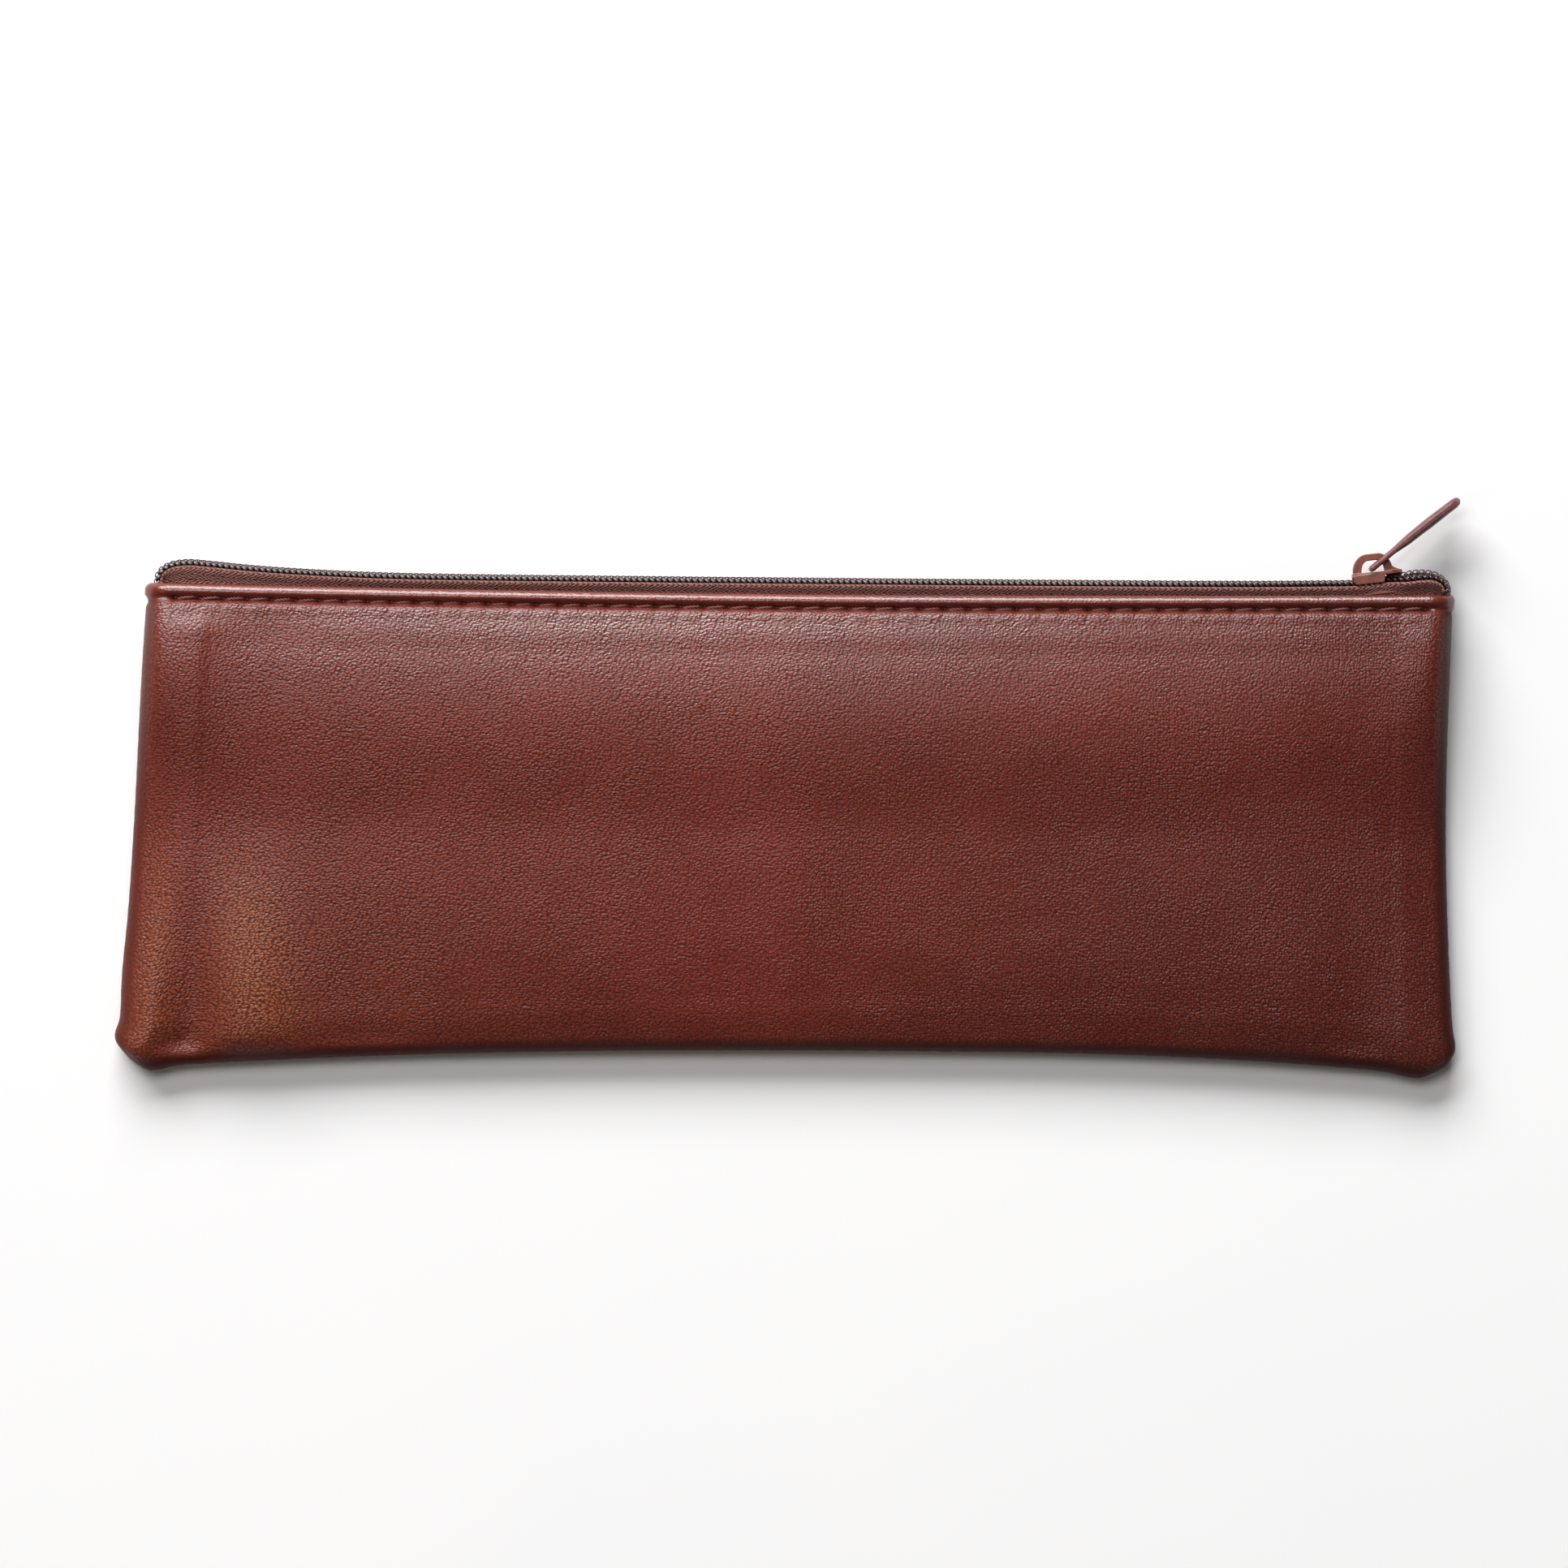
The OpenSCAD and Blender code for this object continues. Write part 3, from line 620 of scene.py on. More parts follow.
class Nodes:
    """A short way to write a node tree."""

    def __init__(self, name):
        self.m = bpy.data.materials.new(name)
        self.m.use_nodes = True
        self.t = self.m.node_tree
        self.t.nodes.clear()
        self.out = self.t.nodes.new("ShaderNodeOutputMaterial")
        self.bsdf = self.t.nodes.new("ShaderNodeBsdfPrincipled")
        self.t.links.new(self.bsdf.outputs[0], self.out.inputs[0])

    def new(self, kind, **props):
        n = self.t.nodes.new(kind)
        for k, v in props.items():
            setattr(n, k, v)
        return n

    def put(self, sock, v):
        if isinstance(v, bpy.types.NodeSocket):
            self.t.links.new(v, sock)
        elif v is not None:
            sock.default_value = v

    def coord(self, which="Object"):
        return self.new("ShaderNodeTexCoord").outputs[which]

    def mapping(self, vec, scale=(1, 1, 1), rot=(0, 0, 0), loc=(0, 0, 0)):
        n = self.new("ShaderNodeMapping")
        self.put(n.inputs["Vector"], vec)
        n.inputs["Scale"].default_value = scale
        n.inputs["Rotation"].default_value = rot
        n.inputs["Location"].default_value = loc
        return n.outputs[0]

    def noise(self, vec, scale, detail=3.0, rough=0.5, dist=0.0):
        n = self.new("ShaderNodeTexNoise")
        self.put(n.inputs["Vector"], vec)
        n.inputs["Scale"].default_value = scale
        n.inputs["Detail"].default_value = detail
        n.inputs["Roughness"].default_value = rough
        n.inputs["Distortion"].default_value = dist
        return n.outputs["Fac"]

    def noise_vec(self, vec, scale, detail=2.0):
        n = self.new("ShaderNodeTexNoise")
        self.put(n.inputs["Vector"], vec)
        n.inputs["Scale"].default_value = scale
        n.inputs["Detail"].default_value = detail
        return n.outputs["Color"]

    def voronoi(self, vec, scale, feature="F1", rnd=1.0, smoothness=None):
        n = self.new("ShaderNodeTexVoronoi", feature=feature)
        self.put(n.inputs["Vector"], vec)
        n.inputs["Scale"].default_value = scale
        n.inputs["Randomness"].default_value = rnd
        if smoothness is not None:
            n.inputs["Smoothness"].default_value = smoothness
        return n

    def math(self, op, a, b=None, c=None, clamp=False):
        n = self.new("ShaderNodeMath", operation=op, use_clamp=clamp)
        self.put(n.inputs[0], a)
        if b is not None:
            self.put(n.inputs[1], b)
        if c is not None:
            self.put(n.inputs[2], c)
        return n.outputs[0]

    def vmath(self, op, a, b=None):
        n = self.new("ShaderNodeVectorMath", operation=op)
        self.put(n.inputs[0], a)
        if b is not None:
            self.put(n.inputs[1], b)
        return n.outputs[0]

    def ramp(self, fac, stops, interp="LINEAR"):
        n = self.new("ShaderNodeValToRGB")
        self.put(n.inputs[0], fac)
        cr = n.color_ramp
        cr.interpolation = interp
        while len(cr.elements) < len(stops):
            cr.elements.new(0.5)
        for el, (p, c) in zip(cr.elements, stops):
            el.position = p
            el.color = c if len(c) == 4 else (*c, 1)
        return n.outputs[0]

    def rng(self, v, a, b, c, d, clamp=True):
        n = self.new("ShaderNodeMapRange", clamp=clamp)
        self.put(n.inputs[0], v)
        for k, q in zip((1, 2, 3, 4), (a, b, c, d)):
            n.inputs[k].default_value = q
        return n.outputs[0]

    def mixc(self, fac, a, b, mode="MIX"):
        n = self.new("ShaderNodeMix", data_type="RGBA", blend_type=mode)
        self.put(n.inputs[0], fac)
        self.put(n.inputs[6], a)
        self.put(n.inputs[7], b)
        return n.outputs[2]

    def bump(self, height, strength, distance, normal=None):
        n = self.new("ShaderNodeBump")
        n.inputs["Strength"].default_value = strength
        n.inputs["Distance"].default_value = distance
        self.put(n.inputs["Height"], height)
        if normal is not None:
            self.put(n.inputs["Normal"], normal)
        return n.outputs[0]

    def xyz(self, vec):
        n = self.new("ShaderNodeSeparateXYZ")
        self.put(n.inputs[0], vec)
        return n.outputs[0], n.outputs[1], n.outputs[2]

    def set(self, **kw):
        for k, v in kw.items():
            self.put(self.bsdf.inputs[k.replace("_", " ")], v)


def lin(r, g, b):
    """sRGB 0-255 to linear."""
    def f(c):
        c = c / 255
        return c / 12.92 if c <= 0.04045 else ((c + 0.055) / 1.055) ** 2.4
    return (f(r), f(g), f(b), 1.0)


def leather_material(name, base=(110, 39, 27), deep=(56, 15, 10), light=(132, 60, 44)):
    """Embossed leather: pebbles of about half a millimetre between fine creases. UV is in millimetres."""
    n = Nodes(name)
    uvn = n.new("ShaderNodeUVMap", uv_map="UVMap")
    uv = uvn.outputs[0]
    # pebbles lie in wavy rows at the upper left and turn rounder towards the bottom
    warp = n.new("ShaderNodeTexNoise", noise_dimensions="2D")
    n.put(warp.inputs["Vector"], uv)
    warp.inputs["Scale"].default_value = 0.16
    warp.inputs["Detail"].default_value = 1.0
    wv = n.vmath("SUBTRACT", warp.outputs["Color"], (0.5, 0.5, 0.5))
    ws = n.new("ShaderNodeVectorMath", operation="SCALE")
    n.put(ws.inputs[0], wv)
    ws.inputs["Scale"].default_value = 0.9
    p = n.vmath("ADD", uv, ws.outputs[0])

    def vor(vec, scale, feature, rnd):
        v = n.new("ShaderNodeTexVoronoi", feature=feature, voronoi_dimensions="2D")
        n.put(v.inputs["Vector"], vec)
        v.inputs["Scale"].default_value = scale
        v.inputs["Randomness"].default_value = rnd
        return v.outputs["Distance"]

    def noi(vec, scale, detail, rough=0.5):
        v = n.new("ShaderNodeTexNoise", noise_dimensions="2D")
        n.put(v.inputs["Vector"], vec)
        v.inputs["Scale"].default_value = scale
        v.inputs["Detail"].default_value = detail
        v.inputs["Roughness"].default_value = rough
        return v.outputs["Fac"]

    # rows are longer towards the upper left
    rows = n.mapping(p, scale=(0.74, 1.22, 1.0), rot=(0, 0, 0.16))
    round_ = n.mapping(p, scale=(1.0, 1.08, 1.0), loc=(5.0, 2.0, 0))
    where = n.new("ShaderNodeTexNoise", noise_dimensions="2D")
    n.put(where.inputs["Vector"], uv)
    where.inputs["Scale"].default_value = 0.05
    where.inputs["Detail"].default_value = 1.0
    ux, uy, _ = n.xyz(uv)
    lean = n.math("ADD", n.math("MULTIPLY", ux, -0.008), n.math("ADD", n.math("MULTIPLY", uy, 0.012), n.math("MULTIPLY", where.outputs["Fac"], 1.2)))
    lean = n.rng(lean, 0.55, 1.35, 0.0, 1.0)
    va = vor(rows, 2.15, "F1", 0.80)
    vb = vor(round_, 2.15, "F1", 0.78)
    cells = n.new("ShaderNodeMix", data_type="FLOAT")
    n.put(cells.inputs[0], lean)
    n.put(cells.inputs[2], vb)
    n.put(cells.inputs[3], va)
    dome = n.math("SUBTRACT", 1.0, n.math("POWER", n.math("MULTIPLY", cells.outputs[0], 1.35), 1.4))
    worm = noi(p, 2.3, 0.0)
    h = n.math("ADD", n.math("MULTIPLY", dome, 0.62), n.math("MULTIPLY", worm, 0.80))
    crease_f = n.rng(h, 0.50, 1.00, 0.0, 1.0)
    grain = n.new("ShaderNodeAttribute", attribute_name="grain").outputs["Fac"]
    patch = noi(uv, 0.16, 2.0)
    hh = n.math("MULTIPLY", h, n.math("MULTIPLY", grain, n.rng(patch, 0.35, 0.65, 0.75, 1.0)))
    n.set(Normal=n.bump(hh, 1.0, 0.000115))
    # colour: deeper in the creases, a little lighter on the pebbles, uneven over the face
    big = noi(uv, 0.014, 2.0, 0.55)
    med = noi(uv, 0.075, 3.0, 0.5)
    tone = n.math("ADD", n.math("MULTIPLY", big, 0.6), n.math("MULTIPLY", med, 0.4))
    face = n.ramp(tone, [(0.36, lin(*[c * 0.93 for c in base])), (0.50, lin(*base)), (0.64, lin(*[min(255, c * 1.07) for c in base]))])
    # painted shade: the face is darkened towards the right side
    face = n.mixc(n.rng(ux, 10.0, 108.0, 0.0, 0.55), face, lin(84, 26, 19))
    # painted warm light: a golden tint over the lower left of the face
    corner = n.math("MULTIPLY", n.rng(ux, -108.0, -40.0, 1.0, 0.0), n.rng(uy, 8.0, 52.0, 1.0, 0.0))
    face = n.mixc(n.math("MULTIPLY", corner, 0.35), face, lin(118, 52, 27))
    # painted shade: the lower right of the face is darkened
    far = n.math("MULTIPLY", n.rng(ux, 5.0, 100.0, 0.0, 1.0), n.rng(uy, 10.0, 58.0, 1.0, 0.0))
    face = n.mixc(n.math("MULTIPLY", far, 0.60), face, lin(66, 16, 11))
    fold_sheen = n.new("ShaderNodeAttribute", attribute_name="painted_fold_highlight").outputs["Fac"]
    rub = n.new("ShaderNodeAttribute", attribute_name="rubbed").outputs["Fac"]
    press = n.new("ShaderNodeAttribute", attribute_name="pressed").outputs["Fac"]
    # painted shade: the ironed rims along the sides and the bottom are darkened, less on the left side; the same mask
    # makes them rougher and less shiny
    rim_shade = n.math("MULTIPLY", n.math("SUBTRACT", 1.0, grain), n.math("MULTIPLY", n.math("SUBTRACT", 1.0, press), n.rng(ux, -112.0, -104.0, 0.25, 1.0)))
    face = n.mixc(n.math("MULTIPLY", rim_shade, 0.88), face, lin(54, 14, 10))
    # painted highlight: golden sheen on the folds of the lower left
    face = n.mixc(n.math("MULTIPLY", fold_sheen, 0.45), face, lin(132, 66, 34))
    col = n.mixc(n.math("MULTIPLY", n.rng(crease_f, 0.0, 0.55, 0.50, 0.0), grain), face, lin(*deep))
    col = n.mixc(n.math("MULTIPLY", n.rng(crease_f, 0.5, 1.0, 0.0, 0.40), grain), col, lin(*light))
    # painted highlight: golden glints on the pebbles of those folds
    col = n.mixc(n.math("MULTIPLY", n.rng(crease_f, 0.45, 0.95, 0.0, 0.50), fold_sheen), col, lin(180, 112, 72))
    n.set(Base_Color=col)
    rough = n.math("ADD", n.math("MULTIPLY", med, 0.12), n.math("ADD", n.math("MULTIPLY", crease_f, -0.08), n.math("ADD", n.math("MULTIPLY", press, -0.12), n.math("ADD", n.math("MULTIPLY", rim_shade, 0.16), 0.36))))
    n.set(Roughness=rough)
    level = n.math("ADD", n.math("MULTIPLY", rub, 0.85), n.math("ADD", n.math("MULTIPLY", press, 0.30), n.math("MULTIPLY", rim_shade, -0.36)))
    n.set(Specular_IOR_Level=n.math("ADD", level, 0.48, clamp=False))
    return n.m


def thread_material(name, base=(112, 60, 54), dark=(60, 28, 26)):
    n = Nodes(name)
    co = n.coord("Object")
    mm = n.mapping(co, scale=(1000, 1000, 1000))
    fib = n.noise(n.mapping(mm, scale=(2.0, 9.0, 9.0), rot=(0, 0, 0.5)), 1.0, 4.0, 0.65)
    fuzz = n.noise(mm, 7.0, 3.0, 0.6)
    col = n.ramp(fib, [(0.25, lin(*dark)), (0.5, lin(*base)), (0.8, lin(*[min(255, c * 1.22) for c in base]))])
    n.set(Base_Color=col)
    n.set(Normal=n.bump(n.math("ADD", fib, n.math("MULTIPLY", fuzz, 0.5)), 0.8, 0.00004))
    n.set(Roughness=n.rng(fib, 0.2, 0.8, 0.62, 0.48))
    n.bsdf.inputs["Sheen Weight"].default_value = 0.25
    n.bsdf.inputs["Sheen Roughness"].default_value = 0.4
    return n.m


def tape_material(name, base=(102, 52, 48), dark=(52, 22, 22), light=(146, 92, 82)):
    """Herringbone weave. UV is in millimetres: u along the tape, v across it."""
    n = Nodes(name)
    uv = n.new("ShaderNodeUVMap", uv_map="UVMap").outputs[0]
    u, v, _ = n.xyz(uv)
    band = 0.95
    # zigzag: the slant changes side in each band across the tape
    vv = n.math("DIVIDE", v, band)
    zig = n.math("PINGPONG", vv, 1.0)
    yarn_pos = n.math("ADD", n.math("DIVIDE", u, 0.86), n.math("MULTIPLY", zig, 2.0))
    jit = n.noise(n.mapping(uv, scale=(1.2, 1.2, 1.0)), 1.0, 2.0)
    yarn_pos = n.math("ADD", yarn_pos, n.math("MULTIPLY", jit, 1.2))
    fr = n.math("FRACT", yarn_pos)
    yarn = n.math("SINE", n.math("MULTIPLY", fr, math.pi))
    pick = n.math("ABSOLUTE", n.math("SINE", n.math("MULTIPLY", n.math("ADD", n.math("DIVIDE", v, 0.36), n.math("MULTIPLY", n.math("FLOOR", yarn_pos), 0.5)), math.pi)))
    edge = n.math("ABSOLUTE", n.math("SUBTRACT", n.math("FRACT", vv), 0.5))
    valley = n.rng(edge, 0.36, 0.5, 0.0, 1.0)
    fib = n.noise(n.mapping(uv, scale=(9.0, 14.0, 1.0), rot=(0, 0, 0.6)), 1.0, 3.0, 0.7)
    h = n.math("ADD", n.math("MULTIPLY", yarn, 0.75), n.math("MULTIPLY", pick, 0.28))
    h = n.math("ADD", h, n.math("MULTIPLY", fib, 0.18))
    h = n.math("SUBTRACT", h, n.math("MULTIPLY", valley, 0.25))
    n.set(Normal=n.bump(h, 1.0, 0.00017))
    col = n.ramp(n.math("MULTIPLY", h, 0.85), [(0.16, lin(*dark)), (0.44, lin(*base)), (0.82, lin(*light))])
    n.set(Base_Color=col)
    n.set(Roughness=n.rng(fib, 0.2, 0.8, 0.75, 0.58))
    n.bsdf.inputs["Sheen Weight"].default_value = 0.12
    n.bsdf.inputs["Sheen Roughness"].default_value = 0.4
    return n.m


def lining_material(name):
    n = Nodes(name)
    co = n.coord("Object")
    mm = n.mapping(co, scale=(1000, 1000, 1000))
    x, y, z = n.xyz(mm)
    a = n.math("SINE", n.math("MULTIPLY", x, 2 * math.pi / 0.45))
    b = n.math("SINE", n.math("MULTIPLY", y, 2 * math.pi / 0.45))
    weave = n.math("MULTIPLY", a, b)
    warp = n.noise(n.mapping(mm, scale=(0.4, 6, 1)), 1.0, 2.0)
    weft = n.noise(n.mapping(mm, scale=(6, 0.4, 1)), 1.0, 2.0)
    h = n.math("ADD", n.math("MULTIPLY", weave, 0.5), n.math("ADD", warp, weft))
    n.set(Normal=n.bump(h, 0.7, 0.00006))
    soft = n.noise(mm, 0.03, 3.0)
    tone = n.math("ADD", n.math("MULTIPLY", n.math("ADD", weave, 1.0), 0.22), n.math("ADD", n.math("MULTIPLY", soft, 0.35), n.math("MULTIPLY", warp, 0.2)))
    n.set(Base_Color=n.ramp(tone, [(0.2, lin(26, 22, 22)), (0.55, lin(42, 36, 36)), (0.85, lin(62, 54, 53))]))
    n.set(Roughness=n.rng(weave, -1, 1, 0.82, 0.66))
    n.bsdf.inputs["Sheen Weight"].default_value = 0.2
    return n.m


def coil_material(name):
    """Drawn nylon: near black-brown, satin, with fine scratches along the wire, and a painted pale highlight on the
    crown of each turn.
    """
    n = Nodes(name)
    co = n.coord("Object")
    mm = n.mapping(co, scale=(1000, 1000, 1000))
    a = n.noise(mm, 1.3, 3.0)
    sc = n.noise(n.mapping(mm, scale=(5, 22, 22)), 1.0, 3.0, 0.6)
    col = n.ramp(a, [(0.3, lin(22, 13, 14)), (0.55, lin(34, 21, 21)), (0.75, lin(50, 32, 30))])
    # painted highlight: pale grey on the crown of each turn
    crown = n.new("ShaderNodeAttribute", attribute_name="crown").outputs["Fac"]
    col = n.mixc(n.math("MULTIPLY", crown, 0.62), col, lin(176, 170, 168))
    n.set(Base_Color=col)
    n.set(Normal=n.bump(n.math("ADD", n.math("MULTIPLY", sc, 0.5), a), 0.5, 0.00002))
    n.set(Roughness=n.rng(sc, 0.3, 0.7, 0.17, 0.27))
    n.bsdf.inputs["Specular IOR Level"].default_value = 0.8
    return n.m


def cord_material(name):
    n = Nodes(name)
    mm = n.mapping(n.coord("Object"), scale=(1000, 1000, 1000))
    x, y, z = n.xyz(mm)
    tw = n.math("SINE", n.math("MULTIPLY", n.math("ADD", x, n.math("MULTIPLY", n.math("ADD", y, z), 1.1)), 2 * math.pi / 0.5))
    fib = n.noise(n.mapping(mm, scale=(6, 16, 16)), 1.0, 3.0, 0.6)
    n.set(Base_Color=n.ramp(n.math("ADD", n.math("MULTIPLY", tw, 0.25), fib), [(0.25, lin(58, 32, 28)), (0.6, lin(96, 58, 50)), (0.85, lin(126, 84, 74))]))
    n.set(Normal=n.bump(n.math("ADD", tw, fib), 0.7, 0.00004))
    n.set(Roughness=n.rng(fib, 0.2, 0.8, 0.75, 0.6))
    return n.m


def paint_material(name, base, worn, worn_amount, bright):
    """Spray-painted zinc casting: mottled brown coat, thin on its edges and faces."""
    n = Nodes(name)
    co = n.coord("Object")
    mm = n.mapping(co, scale=(1000, 1000, 1000))
    big = n.noise(mm, 0.55, 4.0, 0.6)
    spots = n.noise(mm, 1.9, 4.0, 0.65)
    peel = n.noise(mm, 5.5, 3.0, 0.5)
    geo = n.new("ShaderNodeNewGeometry")
    ridge = n.rng(geo.outputs["Pointiness"], 0.50, 0.60, 0.0, 1.0)
    wear = n.math("MULTIPLY", n.rng(n.math("ADD", n.math("MULTIPLY", spots, 0.6), n.math("MULTIPLY", ridge, 0.5)), 0.42, 0.72, 0.0, 1.0), worn_amount)
    coat = n.ramp(big, [(0.3, lin(*[c * 0.80 for c in base])), (0.5, lin(*base)), (0.7, lin(*[min(255, c * 1.15) for c in base]))])
    col = n.mixc(wear, coat, lin(*worn))
    # painted highlight: small pale glints mixed into the coat's colour
    glint = n.rng(spots, 0.66, 0.74, 0.0, bright)
    col = n.mixc(glint, col, lin(206, 176, 150))
    n.set(Base_Color=col)
    n.set(Metallic=n.math("MULTIPLY", wear, 0.25))
    n.set(Roughness=n.math("ADD", n.math("MULTIPLY", peel, 0.16), 0.33))
    n.set(Normal=n.bump(n.math("ADD", n.math("MULTIPLY", peel, 0.5), n.math("MULTIPLY", spots, 0.8)), 0.5, 0.00007))
    n.bsdf.inputs["Coat Weight"].default_value = 0.15
    n.bsdf.inputs["Coat Roughness"].default_value = 0.3
    return n.m


M_LEATHER = leather_material("leather")
M_THREAD = thread_material("sewing_thread")
M_THREAD_TAPE = thread_material("zip_thread", base=(100, 54, 50), dark=(52, 26, 25))
M_THREAD_DARK = thread_material("dark_thread", base=(46, 40, 40), dark=(20, 18, 18))
M_TAPE = tape_material("zip_tape")
M_LINING = lining_material("lining")
M_COIL = coil_material("coil")
M_CORD = cord_material("coil_cord")
M_SLIDER = paint_material("slider_paint", (122, 66, 54), (172, 108, 80), 0.75, 0.5)
M_PULL = paint_material("pull_paint", (108, 62, 60), (140, 84, 76), 0.35, 0.12)


def dress(ob, material):
    ob.data.materials.clear()
    ob.data.materials.append(material)
    return ob


# ------------------------------------------------------------------ leather, both halves

front = shell("front_leather", True)
dress(front, M_LEATHER)
bends(front)
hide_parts("front_panel")

back = shell("back_leather", False)
dress(back, M_LEATHER)
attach(back, "back_half")
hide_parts("back_panel")

# ------------------------------------------------------------------ linings


def lining(name, is_front):
    S = np.concatenate([np.array([2.6, 3.2, 4, 5, 6.2, 7.6, 9, 11, 13.5]) / WIDE, np.arange(16, WIDE - 15.9, 1.2) / WIDE,
                        1 - np.array([13.5, 11, 9, 7.6, 6.2, 5, 4, 3.2, 2.6]) / WIDE])
    T = np.concatenate([np.array([2.6, 3.2, 4, 5, 6.2, 7.6, 9, 11]), np.arange(13, 60, 1.2), np.arange(60.5, HIGH - 2.4, 0.8)]) / HIGH
    s, t = np.meshgrid(S, T, indexing="ij")
    x, y = plan(s, t)
    d = inset(s, t)
    sg = 1.0 if is_front else -1.0
    tb = np.minimum(t, 1 - 8.6 / HIGH)
    xb, yb = plan(s, tb)
    raw = (front_height if is_front else back_height)(s, tb, xb, yb)
    e = HIGH - from_low(t)
    skin = raw - sg * (T_LEATHER + 0.12 + 0.9 * smooth((9.4 - e) / 1.2))
    rim = seam(t) + sg * 0.32
    w = smooth((np.minimum(from_side(s), from_low(t)) - 2.6) / 6.5)
    z = mix(rim, skin, w)
    lip = MID + sg * (2.05 if is_front else 2.65)
    limited = np.minimum(z, lip) if is_front else np.maximum(z, lip)
    z = mix(z, limited, smooth((from_low(t) - (HIGH - 15)) / 6))
    crumple = 0.16 * wave(x, y, 9.0, 16.0) * smooth((d - 10) / 14) * smooth((e - 12) / 10)
    z = z - sg * (0.16 * smooth((d - 10) / 14) * smooth((e - 12) / 10) + np.abs(crumple))
    th = 0.24
    top = np.stack([x, y, z], -1)
    bot = np.stack([x, y, z - sg * th], -1)
    n, m = x.shape
    A, B = (top, bot) if is_front else (bot, top)
    V = np.vstack([A.reshape(-1, 3), B.reshape(-1, 3)])
    F1 = grid_faces(n, m)
    F2 = grid_faces(n, m, off=n * m)[:, ::-1]
    ring = [(i, 0) for i in range(n)] + [(n - 1, j) for j in range(1, m)] + [(i, m - 1) for i in range(n - 2, -1, -1)] + [(0, j) for j in range(m - 2, 0, -1)]
    side = []
    for k in range(len(ring)):
        a = ring[k][0] * m + ring[k][1]
        b = ring[(k + 1) % len(ring)][0] * m + ring[(k + 1) % len(ring)][1]
        side.append((b, a, a + n * m, b + n * m))
    faces = np.vstack([F1, F2, np.array(side)])
    ob = mesh_from(name, V, faces)
    dress(ob, M_LINING)
    return ob


lf = lining("front_lining_cloth", True)
bends(lf)
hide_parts("front_lining")
lb = lining("back_lining_cloth", False)
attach(lb, "back_half")
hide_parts("back_lining")

# ------------------------------------------------------------------ the zip's own line

# middle of the chain along the mouth, and how far the two coils part at the closed end
CHAIN = [(-102.6, 34.4), (-103.5, 36.2), (-103.35, 37.9), (-102.0, 39.15), (-99.3, 39.75), (-95, 39.55), (-88, 38.95), (-80, 38.45),
         (-71, 38.05), (-62, 37.85), (-45, 37.75), (-20, 37.72), (5, 37.72), (30, 37.74), (52, 37.78), (68, 37.85), (80, 37.98), (87, 38.12),
         (92.6, 38.28), (96.7, 38.8), (100.6, 39.42), (103.4, 39.95), (105.8, 39.95), (107.6, 39.1), (108.4, 37.8), (108.2, 36.3), (107.2, 34.9)]
PATH = catmull(CHAIN, 0.05)
_t = np.gradient(PATH, axis=0)
_t /= np.linalg.norm(_t, axis=1)[:, None]
PATH = PATH + np.stack([-_t[:, 1], _t[:, 0]], 1) * np.interp(PATH[:, 0], [-104, -97, -92, -84, -70, 60, 97, 104, 109], [0.08, 0.06, 0.0, 0.0, 0.05, 0.06, 0.0, -0.25, -0.45])[:, None]
PS = np.concatenate([[0], np.cumsum(np.linalg.norm(np.diff(PATH, axis=0), axis=1))])
PT = np.gradient(PATH, axis=0)
PT /= np.linalg.norm(PT, axis=1)[:, None]
PN = np.stack([-PT[:, 1], PT[:, 0]], 1)      # outwards
L_CHAIN = PS[-1]


def on_path(u):
    """Point, tangent and outward normal of the chain at lengths u, in plan."""
    u = np.clip(u, 0, L_CHAIN)
    P = np.stack([np.interp(u, PS, PATH[:, k]) for k in (0, 1)], -1)
    T = np.stack([np.interp(u, PS, PT[:, k]) for k in (0, 1)], -1)
    T /= np.linalg.norm(T, axis=-1)[..., None]
    N = np.stack([-T[..., 1], T[..., 0]], -1)
    return P, T, N


def x_to_u(x):
    ok = (PS > 8) & (PS < L_CHAIN - 10)
    return np.interp(x, PATH[ok, 0], PS[ok])


U_SPLIT = x_to_u(97.6)        # the coils part at the front of the slider


def parted(u):
    """0 where the coils are meshed, 1 where they have parted towards the closed end."""
    return smooth((u - U_SPLIT) / 5.0)


COIL_PITCH = 1.0
WIRE = 0.25


def coil_offsets(sg, u):
    """How the front (sg 1) or back (sg -1) coil sits off the chain's middle: outwards, and across."""
    p = parted(u)
    end = smooth((u - (L_CHAIN - 9)) / 7)
    out = -0.42 * sg * p * (1 - 0.6 * end)
    across = sg * 0.62 * p
    return out, across


